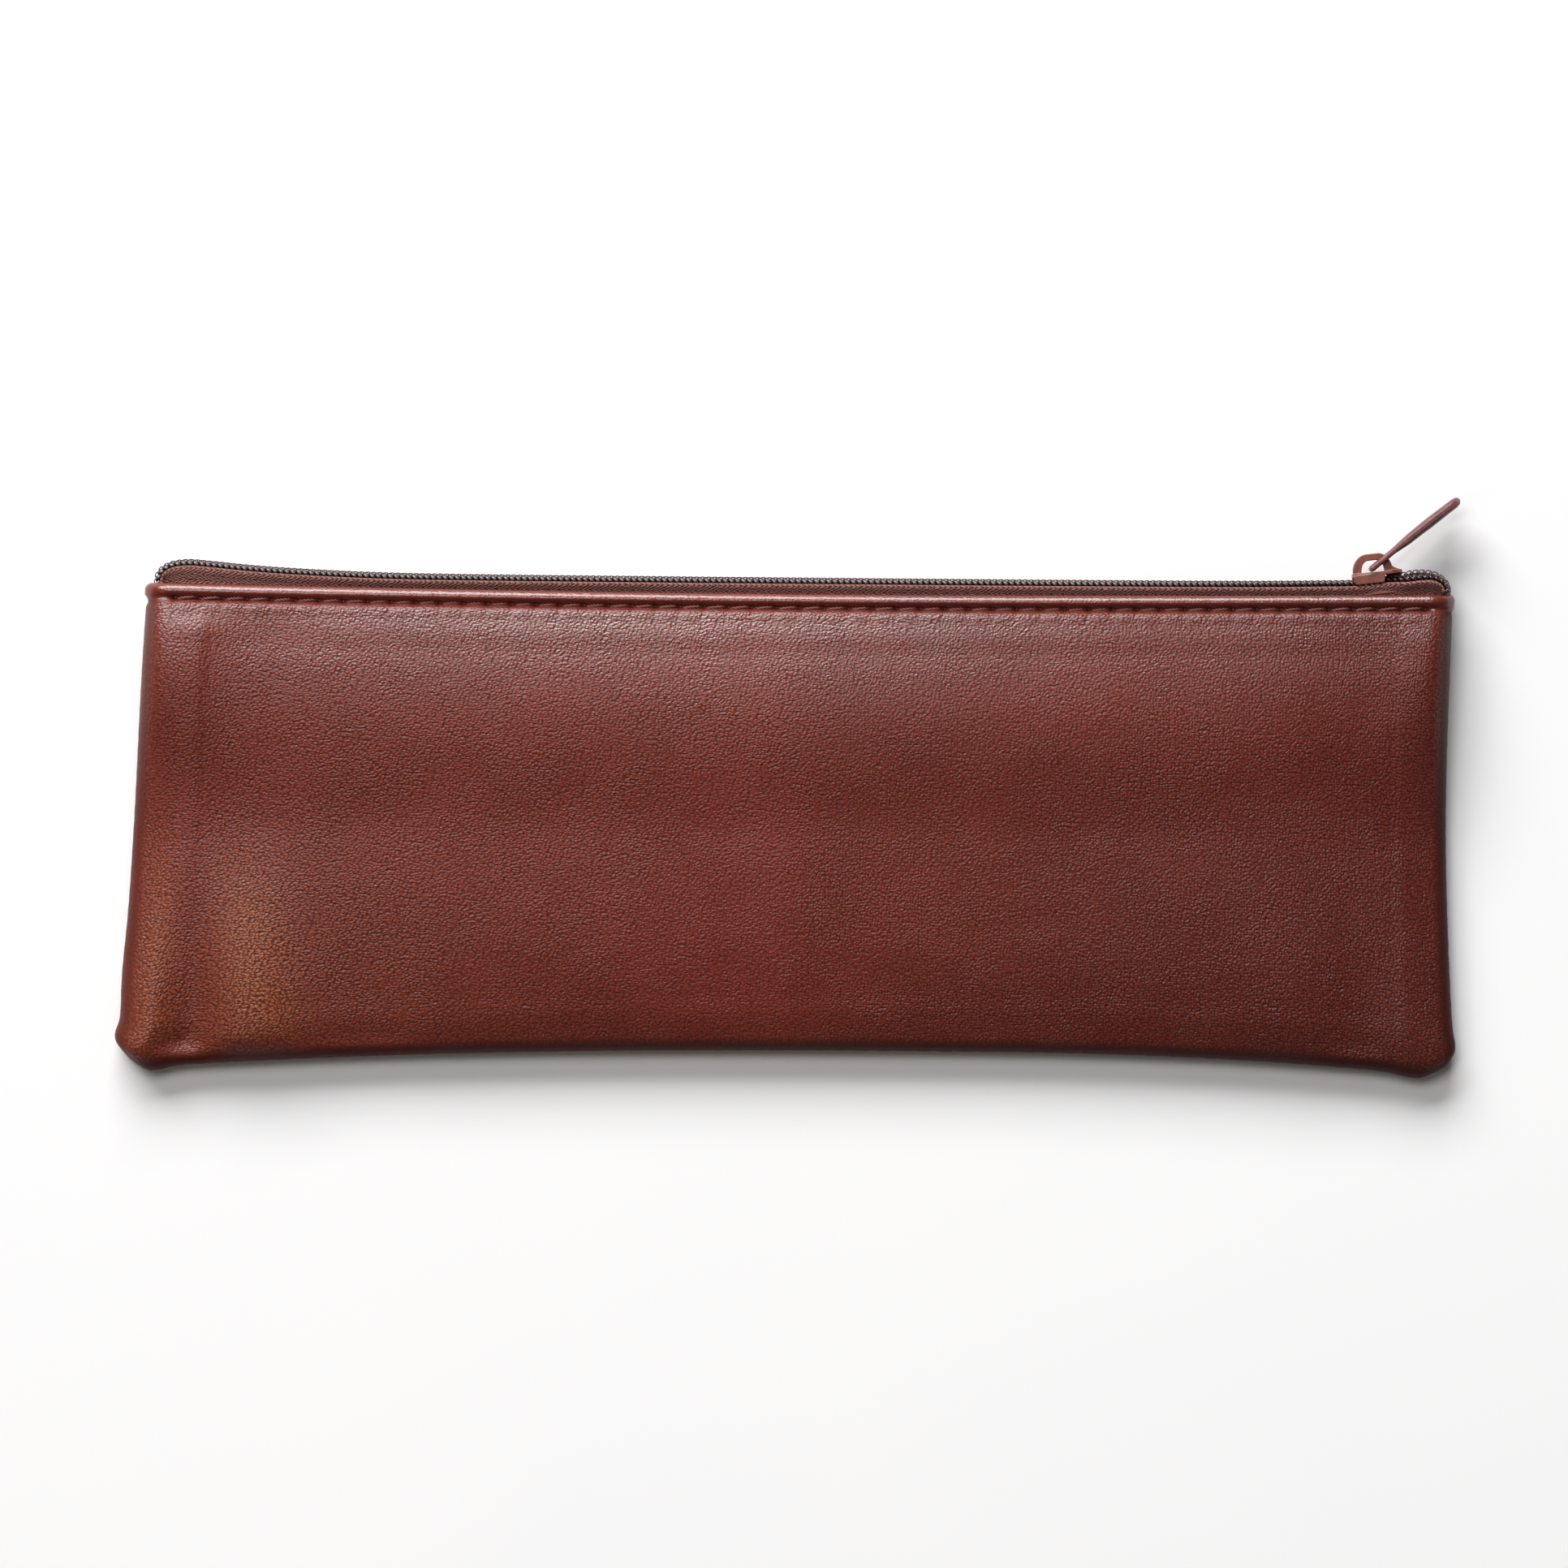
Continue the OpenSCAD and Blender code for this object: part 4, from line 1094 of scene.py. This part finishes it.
def helix(name, sg):
    """One nylon coil: flattened turns that lean over behind, with heads that reach past the middle."""
    turns = int(L_CHAIN / COIL_PITCH) - 1
    per = 18
    th = np.arange(turns * per + 1) / per
    k = np.floor(th)
    f = th - k
    ph = 2 * math.pi * f
    # f = 0 at the head, 0.5 at the outer side, where the wire steps on to the next turn
    adv = smooth((f - 0.27) / 0.46)
    u = 0.9 + COIL_PITCH * (k + adv + (0.5 if sg < 0 else 0.0))
    c, s_ = np.cos(ph), np.sin(ph)
    zc = 0.80
    za = 1.20 - WIRE + 0.02
    ya = 0.51 - WIRE
    sq = lambda q, e: np.sign(q) * np.abs(q) ** e
    z = zc - za * sq(c, 0.72)
    y = ya * sq(s_, 0.80)
    # heads swell a little along the chain so that they lock
    P, T, N = on_path(u)
    off, across = coil_offsets(sg, u)
    Z = MID + sg * z + across
    XY = P + N * (y + off)[:, None]
    pts = np.stack([XY[:, 0], XY[:, 1], Z], 1)
    head = np.exp(-((np.minimum(f, 1 - f)) / 0.10) ** 2)
    r = WIRE * (1 + 0.10 * head - 0.04 * gauss(f, 0.5, 0.15))
    V, F, c0, c1 = tube(pts, r, 8, ref=(0, 0, 1))
    faces = [tuple(q) for q in F.tolist()] + [tuple(q) for q in np.vstack([c0, c1]).tolist()]
    ob = mesh_from(name, V, faces)
    # painted highlight: a pale grey spot on the crown of each turn, fading out towards the slider
    rise = (V[:len(pts) * 8, 2].reshape(-1, 8) - pts[:, 2:3]) * sg / r[:, None]
    crown = (gauss(f, 0.5, 0.045) * smooth((88 - pts[:, 0]) / 40))[:, None] * smooth((rise - 0.25) / 0.5)
    at = ob.data.attributes.new("crown", "FLOAT", "POINT")
    at.data.foreach_set("value", np.concatenate([crown.ravel(), [0.0, 0.0]]).astype(np.float32))
    return ob


cf = helix("front_coil_wire", 1)
dress(cf, M_COIL)
bends(cf)
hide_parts("front_coil")
cb = helix("back_coil_wire", -1)
dress(cb, M_COIL)
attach(cb, "back_half")
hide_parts("back_coil")


def cord_along(name, sg):
    u = np.arange(1.0, L_CHAIN - 1.0, 0.35)
    P, T, N = on_path(u)
    off, across = coil_offsets(sg, u)
    strands = []
    for j in range(3):
        a = 2 * math.pi * (u / 1.7 + j / 3)
        rr = 0.105
        XY = P + N * (off + rr * np.cos(a))[:, None]
        strands.append(np.stack([XY[:, 0], XY[:, 1], MID + sg * (1.12 + 0.0) + across + rr * np.sin(a)], 1))
    return tubes_object(name, strands, 0.115, 6)


kf = cord_along("front_coil_cord_twist", 1)
dress(kf, M_CORD)
bends(kf)
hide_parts("front_coil_cord")
kb = cord_along("back_coil_cord_twist", -1)
dress(kb, M_CORD)
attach(kb, "back_half")
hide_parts("back_coil_cord")


def coil_stitches(name, sg):
    """Each stitch crosses the coil between two turns and dives through the tape on either side."""
    paths = []
    n = int(L_CHAIN / COIL_PITCH) - 2
    for k in range(n):
        u0 = 0.9 + COIL_PITCH * (k + (0.5 if sg < 0 else 0.0)) + 0.25
        q = np.linspace(0, 1, 9)
        u = u0 + COIL_PITCH * q
        P, T, N = on_path(u)
        off, across = coil_offsets(sg, u)
        lift = 0.62 - 0.40 * np.abs(2 * q - 1) ** 4
        zz = 1.18 + 0.30 * np.sin(2 * math.pi * (q - 0.25)) * 0.6
        XY = P + N * (off + lift)[:, None]
        paths.append(np.stack([XY[:, 0], XY[:, 1], MID + sg * zz + across], 1))
    return tubes_object(name, paths, 0.09, 6)


sf = coil_stitches("front_coil_lockstitch", 1)
dress(sf, M_THREAD_TAPE)
bends(sf)
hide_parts("front_coil_stitching")
sb = coil_stitches("back_coil_lockstitch", -1)
dress(sb, M_THREAD_TAPE)
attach(sb, "back_half")
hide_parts("back_coil_stitching")

# ------------------------------------------------------------------ tapes


def tape(name, sg):
    """Woven tape: sewn under the turned edge, it comes up out of the mouth and bends in under its coil."""
    u = np.concatenate([np.arange(1.6, L_CHAIN - 1.8, 0.55)])
    P, T, N = on_path(u)
    off, across = coil_offsets(sg, u)
    # where the ends tuck in, the rows still fan out a little, so that no two share a point
    xl = np.clip(P[:, 0], -103.2, 108.2) + 0.03 * (np.minimum(u - 7.0, 0) + np.maximum(u - (L_CHAIN - 7.0), 0))
    ly = lip_y(xl)
    q = np.linspace(0, 1, 15)
    rows = []
    zi = LIP_HALF - 2 * R_FOLD - 0.28 - (LIP_DROP if sg > 0 else 0.0)
    coil_pt = P + N * (off - 0.56 - 0.06)[:, None]
    # where the chain dives at its ends, the tape's edge follows it
    dive = np.clip((ly + 0.8 - coil_pt[:, 1]) / 2.0, 0, 1)
    base_y = np.minimum(ly - 7.0, coil_pt[:, 1] - 3.2)
    x_base = xl
    pts = []
    for v in (0.0, 0.35, 0.7, 0.9):
        yy = mix(base_y, np.minimum(ly - 0.4, coil_pt[:, 1] - 0.5), v / 0.9)
        pts.append(np.stack([mix(x_base, coil_pt[:, 0], smooth(np.full_like(u, v)) * 0.35), yy, np.full_like(u, zi)], 1))
    P1 = pts[-1]
    P3 = np.stack([coil_pt[:, 0], coil_pt[:, 1], 2.1 + sg * across], 1)
    h = np.maximum(0.1, coil_pt[:, 1] - P1[:, 1])
    C1 = P1 + np.stack([(P3[:, 0] - P1[:, 0]) * 0.35, h * 0.62, np.zeros_like(u)], 1)
    C2 = P3 + np.stack([-N[:, 0] * 0.05, -N[:, 1] * 0.05, np.full_like(u, 0.85)], 1)
    for k in range(1, 11):
        w = k / 10
        pts.append(P1 * (1 - w) ** 3 + C1 * (3 * w * (1 - w) ** 2) + C2 * (3 * w * w * (1 - w)) + P3 * w**3)
    for zz in (1.6, 1.1, 0.62):
        pts.append(np.stack([coil_pt[:, 0], coil_pt[:, 1], zz + sg * across], 1))
    G = np.stack(pts, 1)          # (n, m, 3), z from the middle
    n, m, _ = G.shape
    # thickness along the sheet's own normal
    du = np.gradient(G, axis=0)
    dv = np.gradient(G, axis=1)
    nr = np.cross(du, dv)
    nr /= np.linalg.norm(nr, axis=-1)[..., None] + 1e-9
    nr *= np.sign((nr * np.array([0, 0.6, 1.0])).sum(-1).mean())
    outer = G + nr * 0.23
    inner = G - nr * 0.23
    width = np.concatenate([np.zeros((n, 1)), np.cumsum(np.linalg.norm(np.diff(G, axis=1), axis=2), axis=1)], 1)
    width = width[:, -1:] - width
    uv = np.stack([np.broadcast_to(u[:, None], (n, m)), width], -1).reshape(-1, 2)

    def world(A):
        B = A.copy()
        B[..., 2] = MID + sg * A[..., 2]
        return B.reshape(-1, 3)

    V = np.vstack([world(outer), world(inner)])
    F1 = grid_faces(n, m)
    F2 = grid_faces(n, m, off=n * m)[:, ::-1]
    ring = [(i, 0) for i in range(n)] + [(n - 1, j) for j in range(1, m)] + [(i, m - 1) for i in range(n - 2, -1, -1)] + [(0, j) for j in range(m - 2, 0, -1)]
    side = []
    for k in range(len(ring)):
        a = ring[k][0] * m + ring[k][1]
        b = ring[(k + 1) % len(ring)][0] * m + ring[(k + 1) % len(ring)][1]
        side.append((b, a, a + n * m, b + n * m))
    faces = np.vstack([F1, F2, np.array(side)])
    ob = mesh_from(name, V, faces, uvs=np.vstack([uv, uv]))
    bm = bmesh.new()
    bm.from_mesh(ob.data)
    bmesh.ops.recalc_face_normals(bm, faces=bm.faces)
    bm.to_mesh(ob.data)
    bm.free()
    dress(ob, M_TAPE)
    return ob


tf = tape("front_tape_weave", 1)
bends(tf)
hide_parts("front_zip_tape")
tb_ = tape("back_tape_weave", -1)
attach(tb_, "back_half")
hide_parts("back_zip_tape")

# ------------------------------------------------------------------ topstitching: two-ply thread, one stitch after another


def topstitch(name, is_front):
    paths = []
    sg = 1.0 if is_front else -1.0
    for k in range(N_ST):
        x0, x1 = HOLES[k] + 0.30, HOLES[k + 1] - 0.30
        q = np.linspace(0, 1, 22)
        xs = mix(x0, x1, q)
        ys = lip_y(xs) - INSET_ST + 0.34 * (q - 0.5)
        s = (xs - TOP_L) / (TOP_R - TOP_L)
        t = 1 - (lip_y(xs) - ys) / HIGH
        flat = (LIP_HALF - (LIP_DROP if is_front else 0.0)) * sg + MID
        rise = 1 - np.abs(2 * q - 1) ** 3.2
        zc = flat - sg * (0.94 - 0.74 * rise)
        if not is_front:
            zc = np.maximum(zc, 0.33)
        for j in (0, 1):
            a = 2 * math.pi * (q * (PITCH - 0.7) / 1.15) + math.pi * j + k * 0.7
            rr = 0.125
            paths.append(np.stack([xs, ys + rr * np.cos(a), zc + rr * np.sin(a)], 1))
    return tubes_object(name, paths, 0.165, 7)


st_f = topstitch("front_topstitch_thread", True)
dress(st_f, M_THREAD)
bends(st_f)
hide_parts("front_topstitching")
st_b = topstitch("back_topstitch_thread", False)
dress(st_b, M_THREAD)
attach(st_b, "back_half")
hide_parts("back_topstitching")

# ------------------------------------------------------------------ tacks at the zip's ends


def tack(name, x_at):
    lo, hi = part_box("left_bartack" if x_at < 0 else "right_bartack")
    cx = (lo[0] + hi[0]) / 2 / MM
    cy = (lo[1] + hi[1]) / 2 / MM
    u = x_to_u(cx)
    P, T, N = on_path(np.array([u]))
    y0 = P[0, 1] - 0.65 - 0.55
    y0 = min(y0, cy)
    paths = []
    n = 60
    q = np.linspace(0, 1, n * 4)
    z = MID + 2.2 * np.sin(2 * math.pi * q * 9)
    x = cx + (q - 0.5) * 1.5
    y = y0 + 0.14 * np.cos(2 * math.pi * q * 9)
    paths.append(np.stack([x, y, z], 1))
    return tubes_object(name, paths, 0.12, 6, ref=(0, 1, 0))


for nm, xx in (("left_bartack", -1), ("right_bartack", 1)):
    b = tack(nm + "_thread", xx)
    dress(b, M_THREAD)
    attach(b, "back_half")
    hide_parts(nm)

# ------------------------------------------------------------------ slider and pull: small castings with soft edges


def solid_box(lo, hi):
    bm = bmesh.new()
    bmesh.ops.create_cube(bm, size=1.0)
    for v in bm.verts:
        v.co = Vector([mix(lo[k], hi[k], v.co[k] + 0.5) for k in range(3)])
    return bm


def prism(points, lo, hi, axis=2):
    """Closed prism over a polygon of (a, b) points; axis is the one it runs along."""
    bm = bmesh.new()
    def pt(a, b, c):
        return Vector((a, b, c)) if axis == 2 else (Vector((a, c, b)) if axis == 1 else Vector((c, a, b)))
    A = [bm.verts.new(pt(a, b, lo)) for a, b in points]
    B = [bm.verts.new(pt(a, b, hi)) for a, b in points]
    n = len(points)
    bm.faces.new(A[::-1])
    bm.faces.new(B)
    for k in range(n):
        bm.faces.new((A[k], A[(k + 1) % n], B[(k + 1) % n], B[k]))
    bmesh.ops.recalc_face_normals(bm, faces=bm.faces)
    return bm


def arc(cx, cy, r, a0, a1, n, ry=None):
    ry = r if ry is None else ry
    return [(cx + r * math.cos(math.radians(mix(a0, a1, k / n))), cy + ry * math.sin(math.radians(mix(a0, a1, k / n)))) for k in range(n + 1)]


def cast(name, adds, cuts, voxel, place, rounds=2, wobble=0.0):
    """Joins the shapes, takes the cuts out, and softens every edge, as a die casting has them. Millimetres, then placed."""
    K = 10.0   # worked at a larger size so that the remesh stays accurate

    def obj(bm, nm):
        me = bpy.data.meshes.new(nm)
        bmesh.ops.scale(bm, vec=(K * MM, K * MM, K * MM), verts=bm.verts)
        bm.to_mesh(me)
        bm.free()
        o = bpy.data.objects.new(nm, me)
        scene.collection.objects.link(o)
        return o

    base = obj(adds[0], name)
    extra = [obj(b, name + "_a%d" % i) for i, b in enumerate(adds[1:])]
    minus = [obj(b, name + "_c%d" % i) for i, b in enumerate(cuts)]
    for i, o in enumerate(extra + minus):
        md = base.modifiers.new("b%d" % i, "BOOLEAN")
        md.operation = "UNION" if i < len(extra) else "DIFFERENCE"
        md.object = o
        md.solver = "EXACT"
    rm = base.modifiers.new("r", "REMESH")
    rm.mode = "VOXEL"
    rm.voxel_size = voxel * K * MM
    rm.adaptivity = 0.0
    sm = base.modifiers.new("s", "SMOOTH")
    sm.factor = 0.5
    sm.iterations = rounds
    dg = bpy.context.evaluated_depsgraph_get()
    ev = base.evaluated_get(dg)
    me = bpy.data.meshes.new_from_object(ev)
    for o in extra + minus:
        bpy.data.objects.remove(o, do_unlink=True)
    base.modifiers.clear()
    base.data = me
    me.name = name
    n = len(me.vertices)
    co = np.zeros(n * 3, np.float32)
    me.vertices.foreach_get("co", co)
    co = co.reshape(-1, 3).astype(float) / (K * MM)
    if wobble:
        for k in range(3):
            co[:, k] += wobble * wave(co[:, (k + 1) % 3] + 3 * k, co[:, (k + 2) % 3], 2.0 + k, 2.6)
    co = place(co)
    me.vertices.foreach_set("co", (co * MM).astype(np.float32).ravel())
    me.update()
    me.polygons.foreach_set("use_smooth", [True] * len(me.polygons))
    return base


TILT = 7.0
SLIDER_AT = (96.7, 38.8)
ct, stt = math.cos(math.radians(TILT)), math.sin(math.radians(TILT))


def at_slider(co):
    out = co.copy()
    out[:, 0] = SLIDER_AT[0] + co[:, 0] * ct - co[:, 1] * stt
    out[:, 1] = SLIDER_AT[1] + co[:, 0] * stt + co[:, 1] * ct
    out[:, 2] = MID + co[:, 2]
    return out


SL, SW = 8.2, 5.7


def wing(w, y0, y1, nose=0.8):
    """A wing: square at the rear, shouldered where the coils part, with a rounded nose."""
    h = w / 2
    pts = [(-SL / 2 + 0.25, -h + 0.75), (-SL / 2 + 0.8, -h + 0.25), (-0.4, -h), (SL / 2 - 1.8, -h), (SL / 2 - 0.7, -h + 0.6), (SL / 2 - 0.15, -h + 1.5),
           (SL / 2, -nose), (SL / 2, nose), (SL / 2 - 0.15, h - 1.5), (SL / 2 - 0.7, h - 0.6), (SL / 2 - 1.8, h), (-0.4, h), (-SL / 2 + 0.8, h - 0.25),
           (-SL / 2 + 0.25, h - 0.75), (-SL / 2, h - 1.5), (-SL / 2, -h + 1.5)]
    return prism(pts, y0, y1, axis=1)


PT_TOP = 1.55
UP_IN = 0.95
adds = [wing(SW, UP_IN, PT_TOP), wing(4.6, -2.2, -1.45)]
for sgz in (-1, 1):
    z0, z1 = sorted((sgz * 2.2, sgz * 2.85))
    # flange: it runs down beside the coil, and ends where the coils part
    adds.append(prism([(-SL / 2 + 0.05, UP_IN + 0.3), (-SL / 2 + 0.2, -0.16), (-SL / 2 + 0.6, -0.30), (0.55, -0.30), (0.95, -0.1), (1.15, UP_IN + 0.3)], z0, z1, axis=2))
adds.append(prism([(1.5, -0.25), (3.4, -0.62), (3.9, -0.4), (3.95, 0.0), (3.9, 0.4), (3.4, 0.62), (1.5, 0.25)], -1.8, PT_TOP - 0.2, axis=1))
# bridge: an arch with a flared foot at the front
BW = 0.82
outer = [(-3.95, PT_TOP - 0.4)] + arc(-1.45, PT_TOP + 0.05, 2.5, 180, 90, 12, 3.0) + arc(0.35, PT_TOP + 0.05, 2.25, 90, 12, 12, 3.0) + [(2.75, PT_TOP + 0.55), (3.25, PT_TOP + 0.25), (4.0, PT_TOP - 0.1), (4.0, PT_TOP - 0.4)]
inner_arch = [(-2.55, PT_TOP - 0.01)] + arc(-1.2, PT_TOP + 0.15, 1.35, 180, 90, 10, 1.80) + arc(0.05, PT_TOP + 0.15, 1.2, 90, 0, 10, 1.80) + [(1.25, PT_TOP - 0.01)]
adds.append(prism(outer, -BW, BW, axis=2))
cuts = [prism(inner_arch, -BW - 1, BW + 1, axis=2)]
slider = cast("slider_casting", adds, cuts, 0.07, at_slider, rounds=4, wobble=0.012)
dress(slider, M_SLIDER)
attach(slider, "slider")
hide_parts("slider_body")

# pull tab: its own outline, thin at the eye and thicker towards its round end
PIVOT = next(j for j in frame["joints"] if j["name"] == "pull_swing")["pos_m"]
PIN = (PIVOT[0] / MM, PIVOT[1] / MM)
PA = math.radians(38.9)
PL = 18.3


def at_pull(co):
    out = co.copy()
    out[:, 0] = PIN[0] + co[:, 0] * math.cos(PA) - co[:, 1] * math.sin(PA)
    out[:, 1] = PIN[1] + co[:, 0] * math.sin(PA) + co[:, 1] * math.cos(PA)
    out[:, 2] = MID + co[:, 2]
    return out


plan_outline = ([(-0.5, -2.0), (4.8, -2.1), (7.5, -2.35), (PL - 2.9, -2.75)] + arc(PL - 2.75, 0, 2.75, -90, 90, 22)
                + [(PL - 2.9, 2.75), (7.5, 2.35), (4.8, 2.1), (-0.5, 2.0), (-0.62, 1.6), (-0.62, -1.6)])
side_outline = ([(-0.5, -0.30), (-0.3, -0.48), (0, -0.52), (4.6, -0.50), (7.4, -0.78), (12, -0.86), (PL - 1.2, -0.80), (PL - 0.45, -0.62), (PL, -0.1), (PL, 0.25), (PL - 0.4, 0.68),
                 (PL - 1.1, 0.80), (12, 0.84), (7.4, 0.74), (4.6, 0.50), (0, 0.52), (-0.3, 0.48), (-0.5, 0.30)])


def pull_mesh():
    K = 10.0
    a = prism(plan_outline, -3, 3, axis=1)
    b = prism(side_outline, -4, 4, axis=2)
    slot_pts = [(0.55, -1.15), (4.55, -1.15), (4.95, -0.8), (4.95, 0.8), (4.55, 1.15), (0.55, 1.15)]
    c = prism(slot_pts, -3, 3, axis=1)
    # shallow panels sunk in both faces
    rec = [(8.2, -1.25)] + arc(PL - 3.2, 0, 1.7, -70, 70, 12) + [(8.2, 1.25), (7.9, 1.0), (7.9, -1.0)]
    d1 = prism(rec, 0.66, 3, axis=1)
    d2 = prism(rec, -3, -0.70, axis=1)
    objs = []
    for i, bm in enumerate((a, b, c, d1, d2)):
        me = bpy.data.meshes.new("pt%d" % i)
        bmesh.ops.scale(bm, vec=(K * MM,) * 3, verts=bm.verts)
        bm.to_mesh(me)
        bm.free()
        o = bpy.data.objects.new("pt%d" % i, me)
        scene.collection.objects.link(o)
        objs.append(o)
    base = objs[0]
    for i, (o, op) in enumerate(((objs[1], "INTERSECT"), (objs[2], "DIFFERENCE"), (objs[3], "DIFFERENCE"), (objs[4], "DIFFERENCE"))):
        md = base.modifiers.new("b%d" % i, "BOOLEAN")
        md.operation = op
        md.object = o
        md.solver = "EXACT"
    rm = base.modifiers.new("r", "REMESH")
    rm.mode = "VOXEL"
    rm.voxel_size = 0.09 * K * MM
    sm = base.modifiers.new("s", "SMOOTH")
    sm.factor = 0.5
    sm.iterations = 5
    dg = bpy.context.evaluated_depsgraph_get()
    me = bpy.data.meshes.new_from_object(base.evaluated_get(dg))
    for o in objs[1:]:
        bpy.data.objects.remove(o, do_unlink=True)
    base.modifiers.clear()
    base.data = me
    base.name = "pull_tab_casting"
    me.name = "pull_tab_casting"
    co = np.zeros(len(me.vertices) * 3, np.float32)
    me.vertices.foreach_get("co", co)
    co = co.reshape(-1, 3).astype(float) / (K * MM)
    # its long edges are rounded over
    half = np.interp(co[:, 0], [0, 4.8, 7.5, PL - 2.75], [2.02, 2.12, 2.35, 2.75])
    half = np.where(co[:, 0] > PL - 2.75, np.sqrt(np.maximum(0.04, 2.75**2 - (co[:, 0] - PL + 2.75) ** 2)), half)
    edge_ = np.clip(np.abs(co[:, 2]) / half, 0, 1)
    co[:, 1] *= np.sqrt(1 - 0.86 * edge_**5)
    # the tab is not perfectly true
    co[:, 1] += 0.10 * np.sin(co[:, 0] / PL * math.pi) - 0.012 * wave(co[:, 0], co[:, 2], 4.0, 4.0)
    co = at_pull(co)
    me.vertices.foreach_set("co", (co * MM).astype(np.float32).ravel())
    me.update()
    me.polygons.foreach_set("use_smooth", [True] * len(me.polygons))
    return base


pull = pull_mesh()
dress(pull, M_PULL)
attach(pull, "pull")
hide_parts("pull_tab")

# ------------------------------------------------------------------ CAD nodes that stay: the hidden seam threads

for nm in ("left_seam_thread", "right_seam_thread", "bottom_seam_thread", "lining_seam_thread"):
    o = frame["nodes"][nm]
    mat = M_THREAD_DARK if nm == "lining_seam_thread" else M_THREAD
    if not o.material_slots:
        o.data.materials.append(mat)
    for sl in o.material_slots:
        sl.material = mat

# ------------------------------------------------------------------ floor, light, camera

fm = Nodes("floor")
fco = fm.mapping(fm.coord("Object"), scale=(1, 1, 1))
fn = fm.noise(fco, 9.0, 4.0, 0.5)
fm.set(Base_Color=fm.ramp(fn, [(0.3, (0.955, 0.955, 0.96, 1)), (0.7, (0.97, 0.97, 0.97, 1))]))
fm.set(Roughness=0.9)
fm.bsdf.inputs["Specular IOR Level"].default_value = 0.1
me = bpy.data.meshes.new("floor")
R = 2.5
me.from_pydata([(-R, -R, 0), (R, -R, 0), (R, R, 0), (-R, R, 0)], [], [(0, 1, 2, 3)])
floor = bpy.data.objects.new("floor", me)
scene.collection.objects.link(floor)
me.materials.append(fm.m)
floor.location.z = -0.0001

world = bpy.data.worlds.new("world")
scene.world = world
world.use_nodes = True
bg = world.node_tree.nodes["Background"]
bg.inputs[0].default_value = (1.0, 0.995, 0.99, 1)
bg.inputs[1].default_value = 0.08


def area(name, loc, target, size, energy, color=(1, 1, 1)):
    l = bpy.data.lights.new(name, "AREA")
    l.shape = "RECTANGLE"
    l.size, l.size_y = size
    l.energy = energy
    l.color = color
    o = bpy.data.objects.new(name, l)
    scene.collection.objects.link(o)
    o.location = loc
    d = Vector(target) - Vector(loc)
    o.rotation_euler = d.to_track_quat("-Z", "Y").to_euler()
    return o


area("window", (-0.75, 2.38, 1.38), (0, 0, 0), (2.63, 1.32), 133.0, (1.0, 0.995, 0.995))
area("upper", (-0.44, 0.70, 2.01), (0, 0, 0), (1.10, 0.80), 14.2, (0.98, 0.985, 1.0))
area("lamp", (-0.95, -0.40, 1.15), (0, 0, 0), (0.30, 0.30), 0.8, (1.0, 0.72, 0.42))

scene.view_settings.view_transform = "Standard"
scene.view_settings.look = "None"
scene.view_settings.exposure = 0.0
scene.view_settings.gamma = 1.0

cam = bpy.data.cameras.new("camera")
cam.sensor_width = 36.0
cam.sensor_fit = "HORIZONTAL"
DIST = 1.30
FIELD = 0.2576
cam.lens = 36.0 * DIST / FIELD
camo = bpy.data.objects.new("camera", cam)
scene.collection.objects.link(camo)
camo.location = (-0.00058, 0.00453, DIST + 0.006)
camo.rotation_euler = (0, 0, 0.00965)
cam.clip_start = 0.05
cam.clip_end = 20
scene.camera = camo
